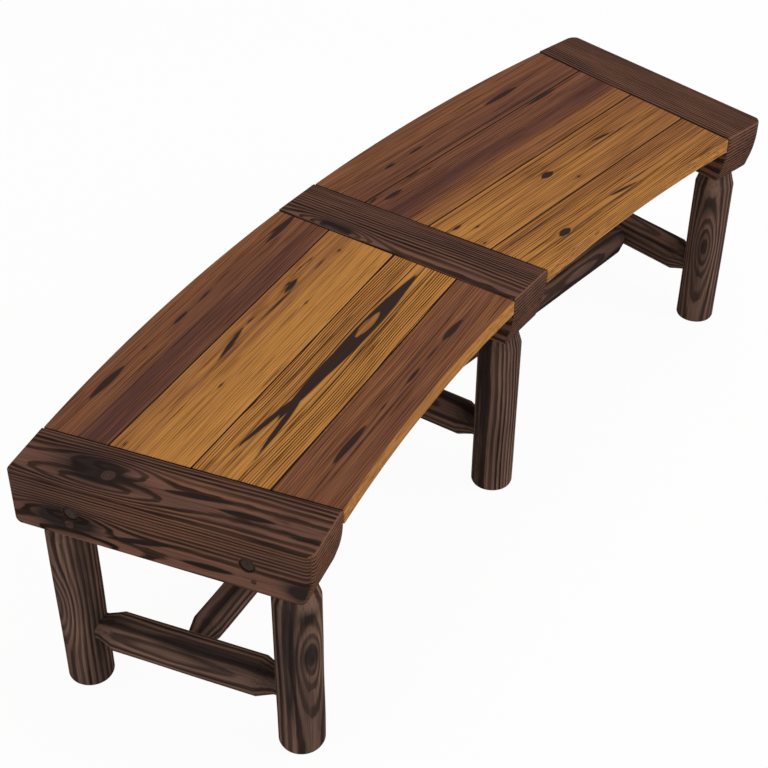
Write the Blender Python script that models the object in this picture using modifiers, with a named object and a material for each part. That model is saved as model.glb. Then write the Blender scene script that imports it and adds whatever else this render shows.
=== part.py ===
"""A rustic curved bench: two plank seat sections between three charred beams on log legs.

Metres, +Z up. The seat follows a ring whose centre lies on the -Y side. Each beam stands at a station of
the ring, each seat section between two stations. The origin is on the floor, under the middle of the box
that holds the bench.
"""

import math

import bmesh
import bpy

# Driving dimensions: the ring that the seat follows, the spacing of the beams' inner ends, and the height
RING_INNER_RADIUS = 3.128
BEAM_SPACING = 0.681
SEAT_HEIGHT = 0.452

# Beams
BEAM_LENGTH = 0.485
BEAM_WIDTH = 0.105
BEAM_HEIGHT = 0.100
LONG_EDGE_ROUNDING = 0.003
END_EDGE_ROUNDING = 0.003
FREE_CORNER_ROUNDING = 0.009
PLANKED_CORNER_ROUNDING = 0.002
UNDERCUT_START = 0.040
UNDERCUT_RADIUS = 0.060
UNDERCUT_ANGLE = math.radians(17)
UNDERCUT_NOSE = 0.003
OUTER_END_ROUNDING = 0.008

# Seat planks: widths at the middle of a section, from the inner edge out; the outermost takes what is left
INNER_PLANK_WIDTH = 0.099
SECOND_PLANK_WIDTH = 0.126
THIRD_PLANK_WIDTH = 0.134
PLANK_THICKNESS = 0.027
PLANK_DROP = 0.0015
PLANK_OUTER_SETBACK = 0.0015
PLANK_SEAM = 0.0015
PLANK_END_GAP = 0.0015
PLANK_CHAMFER = 0.0012

# Log legs
LEG_RADIUS = 0.0375
LEG_TENON_RADIUS = 0.025
LEG_TENON_LENGTH = 0.060
LEG_CONE_LENGTH = 0.038
LEG_SHOULDER = 0.0015
LEG_FOOT_ROUNDING = 0.003
LEG_INNER_INSET = 0.053
LEG_OUTER_INSET = 0.059

# Stretchers between the two legs of a beam
CROSS_RADIUS = 0.033
CROSS_TENON_RADIUS = 0.022
CROSS_TENON_LENGTH = 0.045
CROSS_CONE_LENGTH = 0.027
CROSS_HEIGHT = 0.114

# Stretchers between neighbouring cross stretchers
LONG_RADIUS = 0.0265
LONG_TENON_RADIUS = 0.0175
LONG_TENON_LENGTH = 0.026
LONG_CONE_LENGTH = 0.029
LONG_HEIGHT = 0.109
LONG_INSET = 0.249

# Cleats that carry the plank ends
CLEAT_THICKNESS = 0.035
CLEAT_HEIGHT = 0.045
CLEAT_INNER_INSET = 0.045
CLEAT_OUTER_INSET = 0.020
CLEAT_CHAMFER = 0.002

# Round-headed bolts that clamp the cleats to the beams
BOLT_RADIUS = 0.005
BOLT_CLEARANCE = 0.0005
BOLT_INSET = 0.102
BOLT_PROTRUSION = 0.004
BOLT_HEAD_RADIUS = 0.0123
BOLT_HEAD_RIM = 0.0015
BOLT_HEAD_HEIGHT = 0.005
HEX_RADIUS = 0.0095
NUT_THICKNESS = 0.008
COUNTERBORE_RADIUS = 0.013
COUNTERBORE_DEPTH = 0.0055

# Screws up through the cleats into the planks
SCREW_RADIUS = 0.0023
SCREW_HEAD_RADIUS = 0.0045
SCREW_HEAD_THICKNESS = 0.003
SCREW_TIP_LENGTH = 0.005
SCREW_RECESS = 0.012
SCREW_COVER = 0.008

# Gap between pieces that touch, and how far a cutter runs past what it cuts
FIT_GAP = 0.0003
CUT_PAST = 0.010

# Facets
LOG_SIDES = 24
BOLT_SIDES = 16
SCREW_SIDES = 8
HEX_SIDES = 6
ARC_STEPS = 4
FOOT_ARC_STEPS = 2
EDGE_ARC_STEPS = 14
ROUNDING_SEGMENTS = 3
WELD_DISTANCE = 0.00001
FLAT_ANGLE = math.radians(0.1)
SHARP_ANGLE = math.radians(30)

# Heights and radii that follow from the sizes above
RING_OUTER_RADIUS = RING_INNER_RADIUS + BEAM_LENGTH
BEAM_UNDERSIDE = SEAT_HEIGHT - BEAM_HEIGHT
PLANK_TOP = SEAT_HEIGHT - PLANK_DROP
PLANK_UNDERSIDE = PLANK_TOP - PLANK_THICKNESS
CLEAT_TOP = PLANK_UNDERSIDE - FIT_GAP
CLEAT_MIDDLE = CLEAT_TOP - CLEAT_HEIGHT / 2
CLEAT_UNDERSIDE = CLEAT_TOP - CLEAT_HEIGHT
BEAM_FACE = BEAM_WIDTH / 2
CLEAT_NEAR_FACE = BEAM_FACE + FIT_GAP
CLEAT_FAR_FACE = CLEAT_NEAR_FACE + CLEAT_THICKNESS
SECTION_HALF_ANGLE = math.asin(BEAM_SPACING / 2 / RING_INNER_RADIUS)
STATION_ANGLE = 2 * SECTION_HALF_ANGLE

# Rotations that lay a shape made along Z, or in the XY plane, in its place
ALONG_RADIUS = (-math.pi / 2, 0, 0)
ALONG_CHORD = (0, math.pi / 2, 0)
UPRIGHT_OUTLINE = (math.pi / 2, 0, math.pi / 2)
UNTURNED = (0, 0, 0)

# Stations, as turns about the ring centre counted in station angles, and the two that each section joins
STATIONS = {"left": 1, "middle": 0, "right": -1}
SECTIONS = {"left": ("left", "middle"), "right": ("middle", "right")}
PLANK_NAMES = ("inner", "second", "third", "outer")


def clear_scene():
    for old in list(bpy.data.objects):
        bpy.data.objects.remove(old)


def new_collection(name):
    collection = bpy.data.collections.new(name)
    bpy.context.scene.collection.children.link(collection)
    return collection


def finish(name, colour, roughness, metallic=0.0):
    material = bpy.data.materials.new(name)
    material.use_nodes = True
    shader = material.node_tree.nodes["Principled BSDF"]
    shader.inputs["Base Color"].default_value = (*colour, 1)
    shader.inputs["Roughness"].default_value = roughness
    shader.inputs["Metallic"].default_value = metallic
    return material


def new_empty(name, parent, location, turn):
    empty = bpy.data.objects.new(name, None)
    bpy.context.scene.collection.objects.link(empty)
    empty.parent = parent
    empty.location = location
    empty.rotation_euler = (0, 0, turn)
    return empty


def add_piece(name, mesh, material, parent, location, rotation=UNTURNED):
    """A sub-part of the bench, placed in its station's or section's frame."""
    piece = bpy.data.objects.new(name, mesh)
    PARTS.objects.link(piece)
    piece.parent = parent
    piece.location = location
    piece.rotation_euler = rotation
    if not mesh.materials:
        mesh.materials.append(material)
    return piece


def add_cutter(name, mesh, parent, location, rotation=UNTURNED):
    """A helper solid for a cut, which isn't a piece of the bench."""
    cutter = bpy.data.objects.new(name, mesh)
    CUTTERS.objects.link(cutter)
    cutter.parent = parent
    cutter.location = location
    cutter.rotation_euler = rotation
    cutter.hide_render = True
    cutter.display_type = "WIRE"
    return cutter


def cut(piece, cutter):
    boolean = piece.modifiers.new(f"cut by {cutter.name}", "BOOLEAN")
    boolean.operation = "DIFFERENCE"
    boolean.solver = "EXACT"
    boolean.object = cutter


def realised(helper):
    """The welded mesh that a helper object evaluates to. The helper itself is removed."""
    bpy.context.scene.collection.objects.link(helper)
    graph = bpy.context.evaluated_depsgraph_get()
    mesh = bpy.data.meshes.new_from_object(helper.evaluated_get(graph))
    mesh.name = helper.name
    bpy.data.objects.remove(helper)
    shape = bmesh.new()
    shape.from_mesh(mesh)
    bmesh.ops.remove_doubles(shape, verts=shape.verts, dist=WELD_DISTANCE)
    bmesh.ops.dissolve_limit(shape, angle_limit=FLAT_ANGLE, verts=shape.verts, edges=shape.edges)
    shape.to_mesh(mesh)
    shape.free()
    mesh.shade_smooth()
    mesh.set_sharp_from_angle(angle=SHARP_ANGLE)
    return mesh


def turned(name, profile, sides):
    """A solid turned about Z. The profile holds (radius, height) pairs, from the top of the axis down."""
    line = bpy.data.meshes.new(name)
    points = [(radius, 0, height) for radius, height in profile]
    line.from_pydata(points, [(i, i + 1) for i in range(len(points) - 1)], [])
    helper = bpy.data.objects.new(name, line)
    screw = helper.modifiers.new("turn", "SCREW")
    screw.steps = sides
    screw.render_steps = sides
    screw.use_merge_vertices = True
    screw.merge_threshold = WELD_DISTANCE
    return realised(helper)


def plate(name, outline, thickness):
    """A flat outline in the XY plane, given the thickness evenly to both sides."""
    curve = bpy.data.curves.new(name, "CURVE")
    curve.dimensions = "2D"
    curve.fill_mode = "BOTH"
    curve.extrude = thickness / 2
    spline = curve.splines.new("POLY")
    spline.points.add(len(outline) - 1)
    for point, (x, y) in zip(spline.points, outline):
        point.co = (x, y, 0, 1)
    spline.use_cyclic_u = True
    return realised(bpy.data.objects.new(name, curve))


def rod(name, radius, start, end, sides):
    """A plain cylinder along Z between two heights."""
    return turned(name, [(0, end), (radius, end), (radius, start), (0, start)], sides)


def round_edges(piece, width, segments=1):
    bevel = piece.modifiers.new("rounding", "BEVEL")
    bevel.width = width
    bevel.segments = segments
    bevel.limit_method = "ANGLE"
    bevel.angle_limit = SHARP_ANGLE
    return bevel


def arc(centre_x, centre_y, radius, start, end, steps):
    """Points of an arc from one angle to another, both ends included."""
    angles = [start + (end - start) * i / steps for i in range(steps + 1)]
    return [(centre_x + radius * math.cos(a), centre_y + radius * math.sin(a)) for a in angles]


def plank_end(y, gap):
    """Half a section's length at the distance y from the ring centre, less a gap to the beams."""
    return y * math.tan(SECTION_HALF_ANGLE) - (BEAM_FACE + gap) / math.cos(SECTION_HALF_ANGLE)


def planked_sides(turn):
    """The sides of a station, -1 or 1 along its X axis, that carry a seat section."""
    return [side for side in (-1, 1) if abs(turn - side) <= 1]


def beam_outline():
    """Side view of a beam: x from the inner end outwards, y up from the underside."""
    start = BEAM_HEIGHT - UNDERCUT_START
    under = arc(UNDERCUT_RADIUS, start, UNDERCUT_RADIUS, math.pi, math.pi + UNDERCUT_ANGLE, ARC_STEPS)
    nose_x = under[-1][0] + under[-1][1] * math.tan(UNDERCUT_ANGLE)
    return [(0, BEAM_HEIGHT), *under, (nose_x, 0), (BEAM_LENGTH, 0), (BEAM_LENGTH, BEAM_HEIGHT)]


def beam_edge_rounding(edge, planked):
    """How far one sharp edge of a beam is rounded: most at the upright corners of a side without planks."""
    first, last = (vertex.co for vertex in edge.verts)
    if first.z * last.z > 0:
        if abs(first.x - last.x) > BEAM_LENGTH / 2:
            return LONG_EDGE_ROUNDING
        return PLANKED_CORNER_ROUNDING if math.copysign(1, first.z) in planked else FREE_CORNER_ROUNDING
    if first.y > BEAM_HEIGHT / 2:
        return END_EDGE_ROUNDING
    return UNDERCUT_NOSE if first.x < BEAM_LENGTH / 2 else OUTER_END_ROUNDING


def weigh_beam_edges(mesh, planked):
    """Stores each sharp edge's rounding as its share of the widest one."""
    shape = bmesh.new()
    shape.from_mesh(mesh)
    weights = shape.edges.layers.float.new("bevel_weight_edge")
    sharp = [edge for edge in shape.edges if edge.calc_face_angle() > SHARP_ANGLE]
    widest = max(beam_edge_rounding(edge, planked) for edge in sharp)
    for edge in sharp:
        edge[weights] = beam_edge_rounding(edge, planked) / widest
    shape.to_mesh(mesh)
    shape.free()
    return widest


def add_beam(station, turn, frame):
    planked = planked_sides(turn)
    mesh = plate(f"beam_{station}", beam_outline(), BEAM_WIDTH)
    widest = weigh_beam_edges(mesh, planked)
    place = (0, RING_INNER_RADIUS, BEAM_UNDERSIDE)
    beam = add_piece(f"beam_{station}", mesh, CHARRED_BEAM, frame, place, UPRIGHT_OUTLINE)
    bevel = round_edges(beam, widest, ROUNDING_SEGMENTS)
    bevel.limit_method = "WEIGHT"
    return beam


def leg_profile():
    shoulder = BEAM_UNDERSIDE - FIT_GAP
    foot_centre = LEG_RADIUS - LEG_FOOT_ROUNDING
    foot = arc(foot_centre, LEG_FOOT_ROUNDING, LEG_FOOT_ROUNDING, 0, -math.pi / 2, FOOT_ARC_STEPS)
    return [
        (0, BEAM_UNDERSIDE + LEG_TENON_LENGTH),
        (LEG_TENON_RADIUS, BEAM_UNDERSIDE + LEG_TENON_LENGTH),
        (LEG_TENON_RADIUS, shoulder),
        (LEG_TENON_RADIUS + LEG_SHOULDER, shoulder),
        (LEG_RADIUS, shoulder - LEG_CONE_LENGTH),
        *foot,
        (0, 0),
    ]


def add_legs(station, frame, beam):
    """The inner and the outer leg of a beam, with the sockets for their tenons."""
    legs = []
    hole_top = BEAM_UNDERSIDE + LEG_TENON_LENGTH + FIT_GAP
    hole = rod("leg_socket", LEG_TENON_RADIUS + FIT_GAP, BEAM_UNDERSIDE - CUT_PAST, hole_top, LOG_SIDES)
    for end, radius in (
        ("inner", RING_INNER_RADIUS + LEG_INNER_INSET),
        ("outer", RING_OUTER_RADIUS - LEG_OUTER_INSET),
    ):
        mesh = turned("leg", leg_profile(), LOG_SIDES)
        legs.append(add_piece(f"leg_{station}_{end}", mesh, CHARRED_LOG, frame, (0, radius, 0)))
        cut(beam, add_cutter(f"socket_for_leg_{station}_{end}", hole, frame, (0, radius, 0)))
    return legs


def log_profile(half_length, radius, tenon, cone_length):
    """A log with a cone and a tenon at each end. half_length runs from the middle to the tip of a tenon."""
    tenon_radius, tenon_length = tenon
    cone_end = half_length - tenon_length
    cone_start = cone_end - cone_length
    upper = [(0, half_length), (tenon_radius, half_length), (tenon_radius, cone_end), (radius, cone_start)]
    return upper + [(r, -z) for r, z in reversed(upper)]


def add_cross_stretcher(station, frame, legs):
    """The log between a beam's two legs, with its tenons in both."""
    inner = RING_INNER_RADIUS + LEG_INNER_INSET
    outer = RING_OUTER_RADIUS - LEG_OUTER_INSET
    half_length = (outer - inner) / 2 - LEG_RADIUS + CROSS_TENON_LENGTH
    place = (0, (inner + outer) / 2, CROSS_HEIGHT)
    tenon = (CROSS_TENON_RADIUS, CROSS_TENON_LENGTH)
    profile = log_profile(half_length, CROSS_RADIUS, tenon, CROSS_CONE_LENGTH)
    mesh = turned("cross_stretcher", profile, LOG_SIDES)
    stretcher = add_piece(f"cross_stretcher_{station}", mesh, CHARRED_RAIL, frame, place, ALONG_RADIUS)
    reach = half_length + FIT_GAP
    hole = rod("cross_socket", CROSS_TENON_RADIUS + FIT_GAP, -reach, reach, LOG_SIDES)
    cutter = add_cutter(f"socket_for_cross_stretcher_{station}", hole, frame, place, ALONG_RADIUS)
    for leg in legs:
        cut(leg, cutter)
    return stretcher


def add_long_stretcher(section, frame, neighbours):
    """The log between two cross stretchers, square to the middle line of its seat section."""
    radius = RING_INNER_RADIUS + LONG_INSET
    slant = LONG_TENON_RADIUS * math.sin(SECTION_HALF_ANGLE)
    surface = (CROSS_RADIUS + slant) / math.cos(SECTION_HALF_ANGLE) + FIT_GAP
    half_length = radius * math.sin(SECTION_HALF_ANGLE) - surface + LONG_TENON_LENGTH
    place = (0, radius * math.cos(SECTION_HALF_ANGLE), LONG_HEIGHT)
    tenon = (LONG_TENON_RADIUS, LONG_TENON_LENGTH)
    profile = log_profile(half_length, LONG_RADIUS, tenon, LONG_CONE_LENGTH)
    mesh = turned("long_stretcher", profile, LOG_SIDES)
    add_piece(f"long_stretcher_{section}", mesh, CHARRED_RAIL, frame, place, ALONG_CHORD)
    reach = half_length + FIT_GAP
    hole = rod("long_socket", LONG_TENON_RADIUS + FIT_GAP, -reach, reach, LOG_SIDES)
    cutter = add_cutter(f"socket_for_long_stretcher_{section}", hole, frame, place, ALONG_CHORD)
    for stretcher in neighbours:
        cut(stretcher, cutter)


def add_cleat(section, beam_end, frame, side):
    """The ledger against one beam side, under the plank ends."""
    start = RING_INNER_RADIUS + CLEAT_INNER_INSET
    end = RING_OUTER_RADIUS - CLEAT_OUTER_INSET
    half = CLEAT_THICKNESS / 2
    outline = [(-half, start), (half, start), (half, end), (-half, end)]
    mesh = plate(f"cleat_{section}_{beam_end}", outline, CLEAT_HEIGHT)
    place = (side * (CLEAT_NEAR_FACE + half), 0, CLEAT_MIDDLE)
    cleat = add_piece(f"cleat_{section}_{beam_end}", mesh, CLEAT_WOOD, frame, place)
    round_edges(cleat, CLEAT_CHAMFER)
    return cleat


def bolt_profile(grip):
    """A bolt with a domed head: the head rests at height 0, the shank runs up past grip and nut."""
    tip = grip + FIT_GAP + NUT_THICKNESS + BOLT_PROTRUSION
    dome = BOLT_HEAD_HEIGHT - BOLT_HEAD_RIM
    slopes = [math.pi / 2 * i / ARC_STEPS for i in range(ARC_STEPS)]
    return [
        (0, tip),
        (BOLT_RADIUS, tip),
        (BOLT_RADIUS, 0),
        (BOLT_HEAD_RADIUS, 0),
        *((BOLT_HEAD_RADIUS * math.cos(a), -BOLT_HEAD_RIM - dome * math.sin(a)) for a in slopes),
        (0, -BOLT_HEAD_HEIGHT),
    ]


def add_bolts(station, turn, frame, beam, cleats):
    """Two bolts through a beam and its cleats. On an end beam the heads sit in counterbores."""
    planked = planked_sides(turn)
    ends_beam = len(planked) == 1
    head_seat = BEAM_FACE - COUNTERBORE_DEPTH if ends_beam else CLEAT_FAR_FACE
    way = planked[-1]
    rotation = (0, way * math.pi / 2, 0)
    grip = head_seat + CLEAT_FAR_FACE + FIT_GAP
    bore_reach = head_seat + CLEAT_FAR_FACE + CUT_PAST + NUT_THICKNESS
    for end, radius in (
        ("inner", RING_INNER_RADIUS + BOLT_INSET),
        ("outer", RING_OUTER_RADIUS - BOLT_INSET),
    ):
        name = f"{station}_{end}"
        place = (-way * (head_seat + FIT_GAP), radius, CLEAT_MIDDLE)
        bore = rod("bolt_bore", BOLT_RADIUS + BOLT_CLEARANCE, -CUT_PAST, bore_reach, BOLT_SIDES)
        bore_cutter = add_cutter(f"bore_for_bolt_{name}", bore, frame, place, rotation)
        cut(beam, bore_cutter)
        for cleat in cleats:
            cut(cleat, bore_cutter)
        if ends_beam:
            mouth = -COUNTERBORE_DEPTH - CUT_PAST
            recess = rod("counterbore", COUNTERBORE_RADIUS, mouth, FIT_GAP, LOG_SIDES)
            cut(beam, add_cutter(f"counterbore_for_bolt_{name}", recess, frame, place, rotation))
        bolt_mesh = turned(f"bolt_{name}", bolt_profile(grip), BOLT_SIDES)
        add_piece(f"bolt_{name}", bolt_mesh, BOLT_STEEL, frame, place, rotation)
        nut_low = grip + FIT_GAP
        nut_mesh = rod(f"nut_{name}", HEX_RADIUS, nut_low, nut_low + NUT_THICKNESS, HEX_SIDES)
        nut = add_piece(f"nut_{name}", nut_mesh, BOLT_STEEL, frame, place, rotation)
        cut(nut, bore_cutter)


def plank_rows():
    """Each plank of a section: its name, its finish, and its two bounds as distances from the ring centre."""
    seams = [RING_INNER_RADIUS]
    for width in (INNER_PLANK_WIDTH, SECOND_PLANK_WIDTH, THIRD_PLANK_WIDTH):
        seams.append(seams[-1] + width)
    seams.append(RING_OUTER_RADIUS - PLANK_OUTER_SETBACK)
    return list(zip(PLANK_NAMES, PLANK_FINISHES, seams[:-1], seams[1:]))


def curved_half_angle(radius, gap):
    """Half the angle that an arc of the ring spans between two beams, less a gap to each."""
    return SECTION_HALF_ANGLE - math.asin((BEAM_FACE + gap) / radius)


def plank_edge(radius, curved):
    """One long edge of a plank, from its left end to its right: an arc of the ring, or a straight seam."""
    if not curved:
        half = plank_end(radius, PLANK_END_GAP)
        return [(-half, radius), (half, radius)]
    half_angle = curved_half_angle(radius, PLANK_END_GAP)
    middle = math.pi / 2
    return arc(0, 0, radius, middle + half_angle, middle - half_angle, EDGE_ARC_STEPS)


def plank_edge_y(radius, curved, gap):
    """Where a long edge of a plank crosses a line parallel to the beam, at a gap from it."""
    return radius * math.cos(curved_half_angle(radius, gap)) if curved else radius


def add_planks(section, frame):
    planks = {}
    for name, wood, inner, outer in plank_rows():
        low = inner if name == "inner" else inner + PLANK_SEAM / 2
        high = outer if name == "outer" else outer - PLANK_SEAM / 2
        outline = plank_edge(low, name == "inner") + plank_edge(high, name == "outer")[::-1]
        mesh = plate(f"plank_{section}_{name}", outline, PLANK_THICKNESS)
        place = (0, 0, PLANK_TOP - PLANK_THICKNESS / 2)
        planks[name] = add_piece(f"plank_{section}_{name}", mesh, wood, frame, place)
        round_edges(planks[name], PLANK_CHAMFER)
    return planks


def screw_profile(length):
    """A pan-head screw, point up: the head's flat top rests at height 0."""
    return [
        (0, length),
        (SCREW_RADIUS, length - SCREW_TIP_LENGTH),
        (SCREW_RADIUS, 0),
        (SCREW_HEAD_RADIUS, 0),
        (SCREW_HEAD_RADIUS, -SCREW_HEAD_THICKNESS),
        (0, -SCREW_HEAD_THICKNESS),
    ]


def screw_hole_profile(length):
    """The stepped hole for such a screw, open below."""
    bore = SCREW_RADIUS + FIT_GAP
    recess = SCREW_HEAD_RADIUS + FIT_GAP
    bottom = -SCREW_RECESS - CUT_PAST
    tip = length + FIT_GAP
    return [(0, tip), (bore, tip), (bore, FIT_GAP), (recess, FIT_GAP), (recess, bottom), (0, bottom)]


def add_screws(section, beam_end, side, frame, planks, cleat):
    """One screw for each plank, in the middle of its end, up through one cleat of the section."""
    cleat_line = FIT_GAP + CLEAT_THICKNESS / 2
    seat = CLEAT_UNDERSIDE + SCREW_RECESS
    length = PLANK_TOP - SCREW_COVER - seat
    hole = turned("screw_hole", screw_hole_profile(length), SCREW_SIDES)
    mesh = turned("screw", screw_profile(length), SCREW_SIDES)
    for name, _, inner, outer in plank_rows():
        low = plank_edge_y(inner, name == "inner", cleat_line)
        high = plank_edge_y(outer, name == "outer", cleat_line)
        y = (low + high) / 2
        x = side * plank_end(y, cleat_line)
        cutter = add_cutter(f"hole_for_screw_{section}_{beam_end}_{name}", hole, frame, (x, y, seat))
        cut(cleat, cutter)
        cut(planks[name], cutter)
        add_piece(f"screw_{section}_{beam_end}_{name}", mesh, SCREW_STEEL, frame, (x, y, seat))


def ring_centre_y():
    """The ring centre's Y that puts the origin under the middle of the bench's box."""
    corner_along = RING_INNER_RADIUS + FREE_CORNER_ROUNDING
    corner_across = BEAM_FACE - FREE_CORNER_ROUNDING
    corner_y = corner_along * math.cos(STATION_ANGLE) - corner_across * math.sin(STATION_ANGLE)
    front = corner_y - FREE_CORNER_ROUNDING
    return -(front + RING_OUTER_RADIUS) / 2


def build_bench():
    ring = new_empty("ring_centre", None, (0, ring_centre_y(), 0), 0)
    beams, crosses, station_frames = {}, {}, {}
    for station, turn in STATIONS.items():
        frame = new_empty(f"station_{station}", ring, (0, 0, 0), turn * STATION_ANGLE)
        beams[station] = add_beam(station, turn, frame)
        legs = add_legs(station, frame, beams[station])
        crosses[station] = add_cross_stretcher(station, frame, legs)
        station_frames[station] = frame
    cleats = {station: [] for station in STATIONS}
    for section, (first, last) in SECTIONS.items():
        turn = (STATIONS[first] + STATIONS[last]) / 2
        frame = new_empty(f"section_{section}", ring, (0, 0, 0), turn * STATION_ANGLE)
        planks = add_planks(section, frame)
        for station, side in ((first, -1), (last, 1)):
            beam_end = "middle" if station == "middle" else "end"
            cleat = add_cleat(section, beam_end, station_frames[station], -side)
            add_screws(section, beam_end, side, frame, planks, cleat)
            cleats[station].append(cleat)
        add_long_stretcher(section, frame, (crosses[first], crosses[last]))
    for station, turn in STATIONS.items():
        add_bolts(station, turn, station_frames[station], beams[station], cleats[station])


clear_scene()
PARTS = new_collection("tree_bench")
CUTTERS = new_collection("cutters")
CHARRED_BEAM = finish("charred beam", (0.060, 0.033, 0.024), 0.62)
CHARRED_LOG = finish("charred log", (0.070, 0.038, 0.026), 0.62)
CHARRED_RAIL = finish("charred rail", (0.045, 0.026, 0.020), 0.64)
CLEAT_WOOD = finish("cleat softwood", (0.42, 0.27, 0.14), 0.7)
BOLT_STEEL = finish("blackened steel", (0.03, 0.03, 0.032), 0.45, 1.0)
SCREW_STEEL = finish("zinc plated steel", (0.6, 0.58, 0.52), 0.35, 1.0)
PLANK_FINISHES = (
    finish("red brown plank", (0.17, 0.060, 0.028), 0.5),
    finish("honey plank", (0.40, 0.19, 0.055), 0.48),
    finish("golden plank", (0.38, 0.17, 0.050), 0.48),
    finish("brown plank", (0.15, 0.060, 0.030), 0.5),
)
build_bench()
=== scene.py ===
# %% [markdown]
# # A charred log bench for a ring round a tree
# Two plank seats hang between three heavy beams, and all three beams point at the middle of a wide ring.
# Below the seats everything is round wood: six legs and five stretchers, scorched and brushed so that the
# hard dark wood of each year stands out against the brown. The CAD frame already holds every piece at its
# real size and place. This lesson shapes each surface more finely and gives it its finish.

# %% Load the fixed frame
import math

import bpy
import numpy as np
from mathutils import Matrix, Vector


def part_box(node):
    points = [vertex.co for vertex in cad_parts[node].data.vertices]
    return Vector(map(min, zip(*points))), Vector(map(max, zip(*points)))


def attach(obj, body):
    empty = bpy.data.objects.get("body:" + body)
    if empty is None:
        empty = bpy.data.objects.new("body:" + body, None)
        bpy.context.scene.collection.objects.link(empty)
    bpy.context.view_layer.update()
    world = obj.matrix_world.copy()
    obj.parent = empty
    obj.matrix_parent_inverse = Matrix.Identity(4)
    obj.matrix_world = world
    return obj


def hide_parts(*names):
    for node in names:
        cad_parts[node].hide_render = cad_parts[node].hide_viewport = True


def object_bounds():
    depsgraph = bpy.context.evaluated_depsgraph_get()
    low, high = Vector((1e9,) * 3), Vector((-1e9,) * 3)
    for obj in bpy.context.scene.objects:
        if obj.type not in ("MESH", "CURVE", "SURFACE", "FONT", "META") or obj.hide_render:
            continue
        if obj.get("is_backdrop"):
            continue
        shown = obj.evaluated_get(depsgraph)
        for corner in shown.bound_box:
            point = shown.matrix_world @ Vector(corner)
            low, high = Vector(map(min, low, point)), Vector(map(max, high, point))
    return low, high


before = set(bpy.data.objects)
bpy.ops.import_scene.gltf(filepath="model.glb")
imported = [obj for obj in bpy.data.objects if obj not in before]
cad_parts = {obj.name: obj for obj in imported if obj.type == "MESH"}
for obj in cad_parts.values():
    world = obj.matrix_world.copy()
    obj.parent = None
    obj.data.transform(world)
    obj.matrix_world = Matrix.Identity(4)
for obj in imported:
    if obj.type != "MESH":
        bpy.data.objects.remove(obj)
cad_low, cad_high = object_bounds()
MM = 0.001
scene = bpy.context.scene
print(f"{len(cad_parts)} CAD nodes in a box of {[round(side / MM) for side in cad_high - cad_low]} mm")

# %% [markdown]
# A joiner sets this bench out from the centre of the ring: each beam lies on one radius, and each seat is
# square to the radius between its two beams. The same frames could be typed in as angles, but then they
# would go wrong as soon as the frame changed. So they are read from the legs, which stand under the
# beams.

# %% Find the ring centre and a frame for each beam and each seat
STATIONS = ("left", "middle", "right")
SECTIONS = {"left": ("left", "middle"), "right": ("middle", "right")}
UP = Vector((0, 0, 1))


def box_middle(node):
    low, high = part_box(node)
    return (low + high) / 2


def beam_direction(station):
    """The level direction outwards along a beam, from its inner leg to its outer one."""
    way = box_middle(f"leg_{station}_outer") - box_middle(f"leg_{station}_inner")
    return Vector((way.x, way.y, 0)).normalized()


def frame_along(radial, origin):
    """A frame whose X runs across a radius of the ring, Y outwards along it and Z up."""
    turn = Matrix((radial.cross(UP), radial, UP)).transposed()
    return Matrix.Translation(origin) @ turn.to_4x4()


left_leg = box_middle("leg_left_inner")
left_way = beam_direction("left")
ring_centre = left_leg - left_way * (left_leg.x / left_way.x)
ring_centre.z = 0
station_frames = {name: frame_along(beam_direction(name), ring_centre) for name in STATIONS}
section_frames = {}
for section, (first, last) in SECTIONS.items():
    between = (beam_direction(first) + beam_direction(last)).normalized()
    section_frames[section] = frame_along(between, ring_centre)
print(f"ring centre at {ring_centre.y:.3f} m")
print(f"{len(station_frames)} beam frames and {len(section_frames)} seat frames")

# %% [markdown]
# With a frame for each beam and each seat, a CAD piece can be measured square to itself, as with a try
# square. Blender's own box of an object runs along the world's axes, so a slanting beam would come out
# too wide. Here the vertices are turned into the frame first. The middle beam gives the sizes that most
# pieces share.

# %% Measure the CAD pieces
def cad_points(node, place):
    """The vertices of a CAD node, in a frame."""
    to_local = np.array(place.inverted())
    points = np.array([vertex.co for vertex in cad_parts[node].data.vertices])
    return points @ to_local[:3, :3].T + to_local[:3, 3]


def measured(node, place):
    """The lowest and the highest corner of a CAD node, along the axes of a frame."""
    points = cad_points(node, place)
    return points.min(axis=0), points.max(axis=0)


def at_middle(place, low, high):
    """A frame moved to the middle of a box that was measured in it."""
    return place @ Matrix.Translation(Vector((low + high) / 2))


def upright_axis(low, high):
    """The move to the upright axis through the middle of a box."""
    return Matrix.Translation(((low[0] + high[0]) / 2, (low[1] + high[1]) / 2, 0))


beam_low, beam_high = measured("beam_middle", station_frames["middle"])
INNER_RADIUS, OUTER_RADIUS = beam_low[1], beam_high[1]
BEAM_UNDERSIDE, SEAT_TOP = beam_low[2], beam_high[2]
BEAM_HALF_WIDTH = beam_high[0]
BEAM_LENGTH = OUTER_RADIUS - INNER_RADIUS
print(f"beams from {INNER_RADIUS:.3f} to {OUTER_RADIUS:.3f} m out, seat {SEAT_TOP / MM:.0f} mm high")

# %% [markdown]
# Beams, planks and cleats are all sawn stock: a flat outline with a thickness and eased edges. A cube
# with a Bevel modifier would give the shape, but its few large faces could not carry a figure of knots
# and lines. So each one is built as a close mesh. It starts with the corners, which a plane rounds a
# little: each one is an arc that leaves both of its sides smoothly.

# %% Ease a corner
HALF_ARC_STEPS = 3
SMALLEST_EASE = 0.2 * MM


def resampled(points, count):
    """The same path cut into count equal steps."""
    travel = np.concatenate([[0], np.cumsum(np.linalg.norm(np.diff(points, axis=0), axis=1))])
    wanted = np.linspace(0, travel[-1], count + 1)
    return np.column_stack([np.interp(wanted, travel, points[:, axis]) for axis in range(points.shape[1])])


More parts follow.
